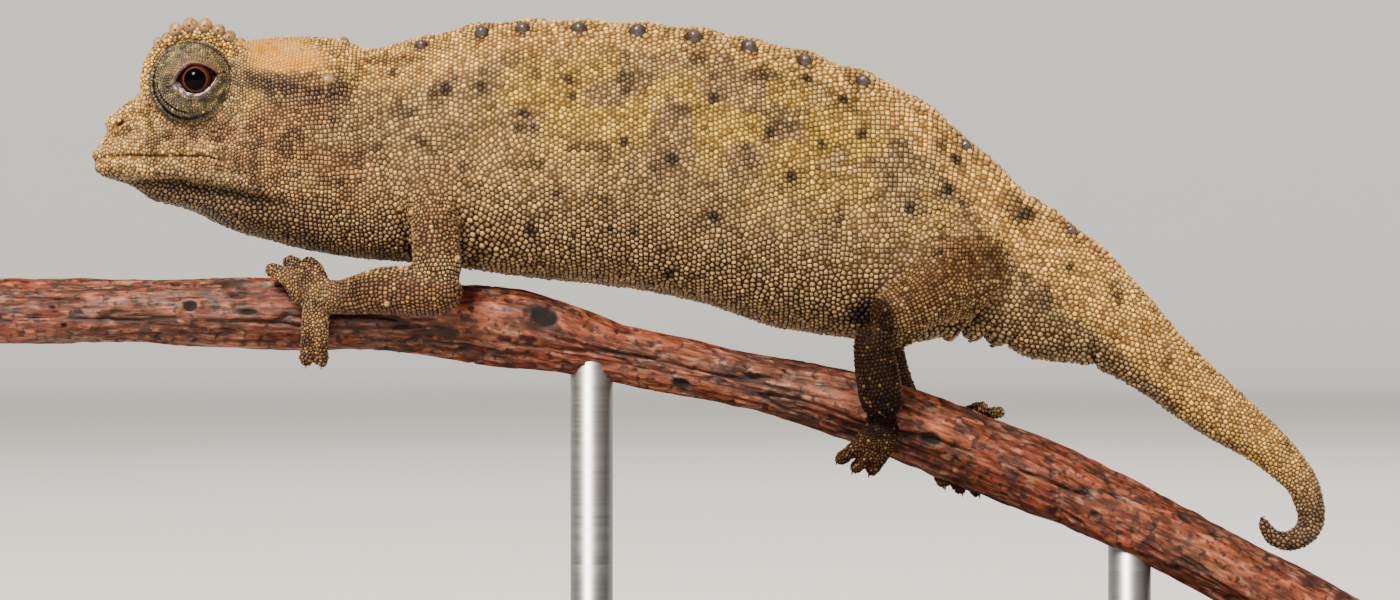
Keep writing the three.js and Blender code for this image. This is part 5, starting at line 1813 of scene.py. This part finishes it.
def twig():
    """The twig: rings square to its line, of the solid's radius and lumps, with the weathered relief.
    Each end is a rough saw cut across it."""
    angle = np.linspace(0, 2 * np.pi, TWIG_SIDES, endpoint=False)[None]
    along = TWIG_ALONG[:, None] + 0 * angle
    turn = angle + 0 * along
    t = TWIG_T[:, None]
    relief, crack, knot, pit = twig_relief(along, turn)
    lumps = 1 + 0.035 * np.sin(3 * angle + 9 * t) + 0.03 * np.sin(2 * angle - 23 * t)
    radius = TWIG_LINE[:, 2:3] * lumps - 0.04 + relief
    forward = unit(np.gradient(TWIG_LINE[:, :2], axis=0))
    up = np.stack([-forward[:, 1], 0 * forward[:, 0], forward[:, 0]], axis=1)
    centre = np.stack([TWIG_LINE[:, 0], 0 * TWIG_LINE[:, 0], TWIG_LINE[:, 1]], axis=1)
    points = centre[:, None] + radius[..., None] * (
        up[:, None] * np.cos(angle)[..., None] + np.array([0, 1.0, 0]) * np.sin(angle)[..., None])
    rough = noise(np.stack([0 * along, points[..., 1], points[..., 2]], axis=-1), 0.35) - 0.5
    for end, way in ((0, 1), (-1, -1)):
        points[end, :, 0] += way * 0.12 * (rough[end] + 0.6)
    # high and crack lighten the raised wood and darken the low wood, cracks and pits: partly wear and dirt,
    # partly painted shade.
    values = {
        "crack": np.maximum(crack, 0.7 * pit), "knot": knot, "high": smooth(relief, -0.14, 0.14),
    }
    grain = np.stack([along, TWIG_GIRTH * np.cos(turn), TWIG_GIRTH * np.sin(turn)], axis=-1)
    values = {key: np.append(value.ravel(), [0.3, 0.3]) for key, value in values.items()}
    values["grain"] = np.vstack([grain.reshape(-1, 3), [[0, 0, 0], [80, 0, 0]]])
    return closed_grid(points), values


def dead_wood():
    """Dead twig wood: barkless, sun-bleached and rain-washed. Red-brown to salmon fibres run along it,
    pinkish grey where they are worn, lighter on the raised wood and near black in the low wood,
    cracks and pits, partly dirt and partly painted shade, near black in the knots, with specks of
    mould."""
    made, tree, out = finish("weathered_dead_wood")
    place = object_place(tree)
    grain = attribute(tree, "grain", "Vector")
    crack, knot, high = (attribute(tree, key) for key in ("crack", "knot", "high"))

    def streaks(long, wide, detail):
        """Patches drawn out along the grain, long by wide mm."""
        drawn = add(tree, "VectorMath", {0: grain, 1: (1 / long, 1 / wide, 1 / wide)},
                    operation="MULTIPLY").outputs[0]
        return add(tree, "TexNoise", {"Vector": drawn, "Scale": 1.0, "Detail": detail}).outputs[0]

    long, patch, fibre = streaks(4.0, 0.45, 4.0), streaks(3.0, 1.4, 4.0), streaks(0.6, 0.12, 4.0)
    speck, stain, mould = (clouds(tree, place, size, 4.0) for size in (0.38, 5.0, 1.2))
    crumb = streaks(0.9, 0.30, 5.0)
    colour = stained(tree, linear("331307"), (
        ("7B391B", high, 0, 0.8, 1), ("6C250B", stain, 0.46, 0.60, 0.85),
        ("703B23", patch, 0.46, 0.62, 0.75), ("260D05", long, 0.50, 0.66, 0.75),
        ("89482A", fibre, 0.52, 0.66, 0.50), ("1B0905", fibre, 0.48, 0.36, 0.60),
        ("28130B", mould, 0.55, 0.66, 0.60), ("220E07", crumb, 0.51, 0.64, 0.60),
        ("A2745C", crumb, 0.46, 0.33, 0.45), ("120C09", speck, 0.55, 0.63, 0.85),
        ("0F0704", crack, 0.10, 0.9, 0.95), ("0D0A08", knot, 0.1, 0.8, 0.97),
    ))
    bump = add(tree, "Bump", {"Strength": 0.8, "Distance": 0.05 * MM, "Height": fibre}).outputs[0]
    worn = ranged(tree, patch, 0.3, 0.7, 0.72, 0.45)
    rough = joined_values(tree, "MAXIMUM", worn, knot)
    return surfaced(made, tree, out, {
        "Base Color": colour, "Roughness": rough, "Specular IOR Level": 0.35, "Normal": bump})


shell, values = twig()
piece("twig", shell, dead_wood(), values, ["perch_twig"])

# ---- The stand ---------------------------------------------------------------------------------


def turned(profile, x, sides=64):
    """A round piece about an upright axis at x, from (radius, height) places up its outline."""
    angle = np.linspace(0, 2 * np.pi, sides, endpoint=False)
    radius, height = np.array(profile).T[:, :, None]
    return closed_grid(np.stack(np.broadcast_arrays(
        x + radius * np.cos(angle), radius * np.sin(angle), height), axis=-1))


def rod(node):
    """A display rod: the solid's height and radius, with a turned collar where it meets the base."""
    low, high = (np.array(corner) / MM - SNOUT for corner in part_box(node))
    x, radius = (low[0] + high[0]) / 2, (high[0] - low[0]) / 2
    top = BASE["thick"] - SNOUT[2]
    return turned([
        (0.9 * radius, low[2]), (radius, low[2] + 0.1), (radius, top), (radius + 0.7, top + 0.001),
        (radius + 0.7, top + 0.45), (radius + 0.62, top + 0.53), (radius + 0.1, top + 0.6),
        (radius, top + 0.7), (radius, high[2] - 0.12), (0.9 * radius, high[2]),
    ], x)


def board():
    """The base: a rounded rectangle with its edges rounded over. Rings go in from the middle of the
    underside, up the edge and in to the middle of the top."""
    turn = np.linspace(0, 2 * np.pi, 240, endpoint=False)
    bevel, thick = BASE["bevel"], BASE["thick"]
    quarter = np.radians([0, 22.5, 45, 67.5, 90])
    shares = (0.3, 0.8)
    edge = [(bevel * (1 - math.sin(q)), bevel * (1 - math.cos(q))) for q in quarter]
    outline = edge + [(inset, thick - height) for inset, height in reversed(edge)]
    points = []
    half = np.array([BASE["length"] / 2, BASE["width"] / 2])

    def corner_ring(inset, height, share=1.0):
        """The rounded outline, set in from the edge and drawn to the middle by share."""
        inner = half - BASE["corner"]
        direction = np.stack([np.cos(turn), np.sin(turn)], axis=1)
        reach = BASE["corner"] - inset
        ring = np.clip(direction * 99, -inner, inner) * share + direction * reach * share
        return np.column_stack([ring, np.full(len(turn), height)])

    for share in shares:
        points.append(corner_ring(bevel, 0.0, share))
    for inset, height in outline:
        points.append(corner_ring(inset, height))
    for share in reversed(shares):
        points.append(corner_ring(bevel, thick, share))
    return closed_grid(np.array(points) - SNOUT)


def black_board():
    """The base: moulded matte black plastic, with an orange-peel surface and faint dust."""
    made, tree, out = finish("matte_black_board")
    place = object_place(tree)
    peel = clouds(tree, place, 0.5, 2.0)
    dust = clouds(tree, place, 9.0, 5.0)
    colour = mixed(tree, linear("18191B"), linear("26272A"), ranged(tree, dust, 0.4, 0.7))
    bump = add(tree, "Bump", {"Strength": 0.25, "Distance": 0.02 * MM, "Height": peel}).outputs[0]
    return surfaced(made, tree, out, {
        "Base Color": colour, "Roughness": ranged(tree, dust, 0.3, 0.7, 0.38, 0.52), "Normal": bump})


def brushed_steel():
    """The rods: stainless steel bar, brushed round, with fine rings 0.15 mm apart."""
    made, tree, out = finish("brushed_stainless_steel")
    place = object_place(tree)
    rings = add(tree, "VectorMath", {0: place, 1: (40.0, 40.0, per_mm(0.15))},
                operation="MULTIPLY").outputs[0]
    lines = add(tree, "TexNoise", {"Vector": rings, "Scale": 1.0, "Detail": 2.0}).outputs[0]
    colour = mixed(tree, linear("8E9093"), linear("B4B6B8"), lines)
    return surfaced(made, tree, out, {
        "Base Color": colour, "Metallic": 1.0, "Roughness": ranged(tree, lines, 0.3, 0.7, 0.36, 0.46)})


STEEL = brushed_steel()
piece("stand_board", board(), black_board(), None, ["stand_base"])
for node, name in (("stand_rod_front", "stand_bar_front"), ("stand_rod_rear", "stand_bar_rear")):
    piece(name, rod(node), STEEL, None, [node])

# ---- Camera, floor and light -------------------------------------------------------------------


def see_from(place, lens):
    """The camera looks straight along +Y from place, in metres."""
    data = bpy.data.cameras.new("camera")
    data.lens = lens
    data.sensor_width = 36
    data.clip_start = 0.01
    data.clip_end = 10
    made = bpy.data.objects.new("camera", data)
    made.location = place
    made.rotation_euler = (math.pi / 2, 0, 0)
    bpy.context.scene.collection.objects.link(made)
    bpy.context.scene.camera = made


def lamp(name, place, aim, size, power, colour):
    """A round soft light at place, size metres wide, turned towards aim. Only the key is mirrored."""
    data = bpy.data.lights.new(name, "AREA")
    data.shape = "DISK"
    data.size = size
    data.energy = power
    data.color = linear(colour)[:3]
    made = bpy.data.objects.new(name, data)
    made.location = place
    made.rotation_euler = (Vector(aim) - Vector(place)).to_track_quat("-Z", "Y").to_euler()
    made.visible_glossy = name == "key"
    bpy.context.scene.collection.objects.link(made)


def pale_paper():
    """The sweep: matte white paper whose rising wall glows as painted backlight and lights the model."""
    made, tree, out = finish("pale_paper_sweep")
    place = object_place(tree)
    colour = mixed(tree, linear("D9D7D2"), linear("DEDCD8"), clouds(tree, place, 60.0, 3.0))
    # The glow grows with distance from the middle: painted light, with no lamp behind the paper.
    far = add(tree, "VectorMath", {0: place}, operation="LENGTH").outputs["Value"]
    return surfaced(made, tree, out, {
        "Base Color": colour, "Roughness": 0.85, "Emission Color": linear("E8E5DF"),
        "Emission Strength": ranged(tree, far, 0.45, 1.05, 0, 0.62)})


def studio_floor():
    """A plain pale sweep under and round the model: a disc 0.9 m in radius whose edge rises in a
    quarter circle of 0.5 m, in rings about the upright axis."""
    rise = np.linspace(0, np.pi / 2, 24)
    radius = np.concatenate([np.linspace(0.001, 0.9, 20), 0.9 + 0.5 * np.sin(rise[1:])])
    height = np.concatenate([np.zeros(20), 0.5 * (1 - np.cos(rise[1:]))])
    turn = np.linspace(0, 2 * np.pi, 96, endpoint=False)
    points = np.stack(np.broadcast_arrays(
        radius[:, None] * np.cos(turn), radius[:, None] * np.sin(turn), height[:, None]), axis=-1)
    quads = ring_quads(len(radius), len(turn))[:, ::-1]
    mesh = mesh_of("studio_floor", points.reshape(-1, 3), quads, np.arange(len(turn))[None])
    mesh.shade_smooth()
    mesh.materials.append(pale_paper())
    floor = bpy.data.objects.new("studio_floor", mesh)
    bpy.context.scene.collection.objects.link(floor)


studio_floor()
VIEWPOINT = (0, -0.201, 0.02368)
LENS = 100  # mm, on a sensor 36 mm wide
MODEL_MIDDLE = (0, 0, 0.022)
LAMPS = (  # name, place, aim, size in metres, power in watts and colour
    ("key", (-0.15, -0.31, 0.36), MODEL_MIDDLE, 0.15, 7.5, "FFF2E0"),
    ("fill", (0.30, -0.34, 0.20), MODEL_MIDDLE, 0.30, 0.8, "F6F8FF"),
    ("rim", (0.10, 0.34, 0.40), (0, 0, 0.025), 0.20, 1.8, "FFFFFF"),
)
see_from(VIEWPOINT, LENS)
for row in LAMPS:
    lamp(*row)

world = bpy.data.worlds.new("studio")
world.use_nodes = True
world.node_tree.nodes["Background"].inputs["Color"].default_value = linear("E9E8E4")
world.node_tree.nodes["Background"].inputs["Strength"].default_value = 0.28
bpy.context.scene.world = world
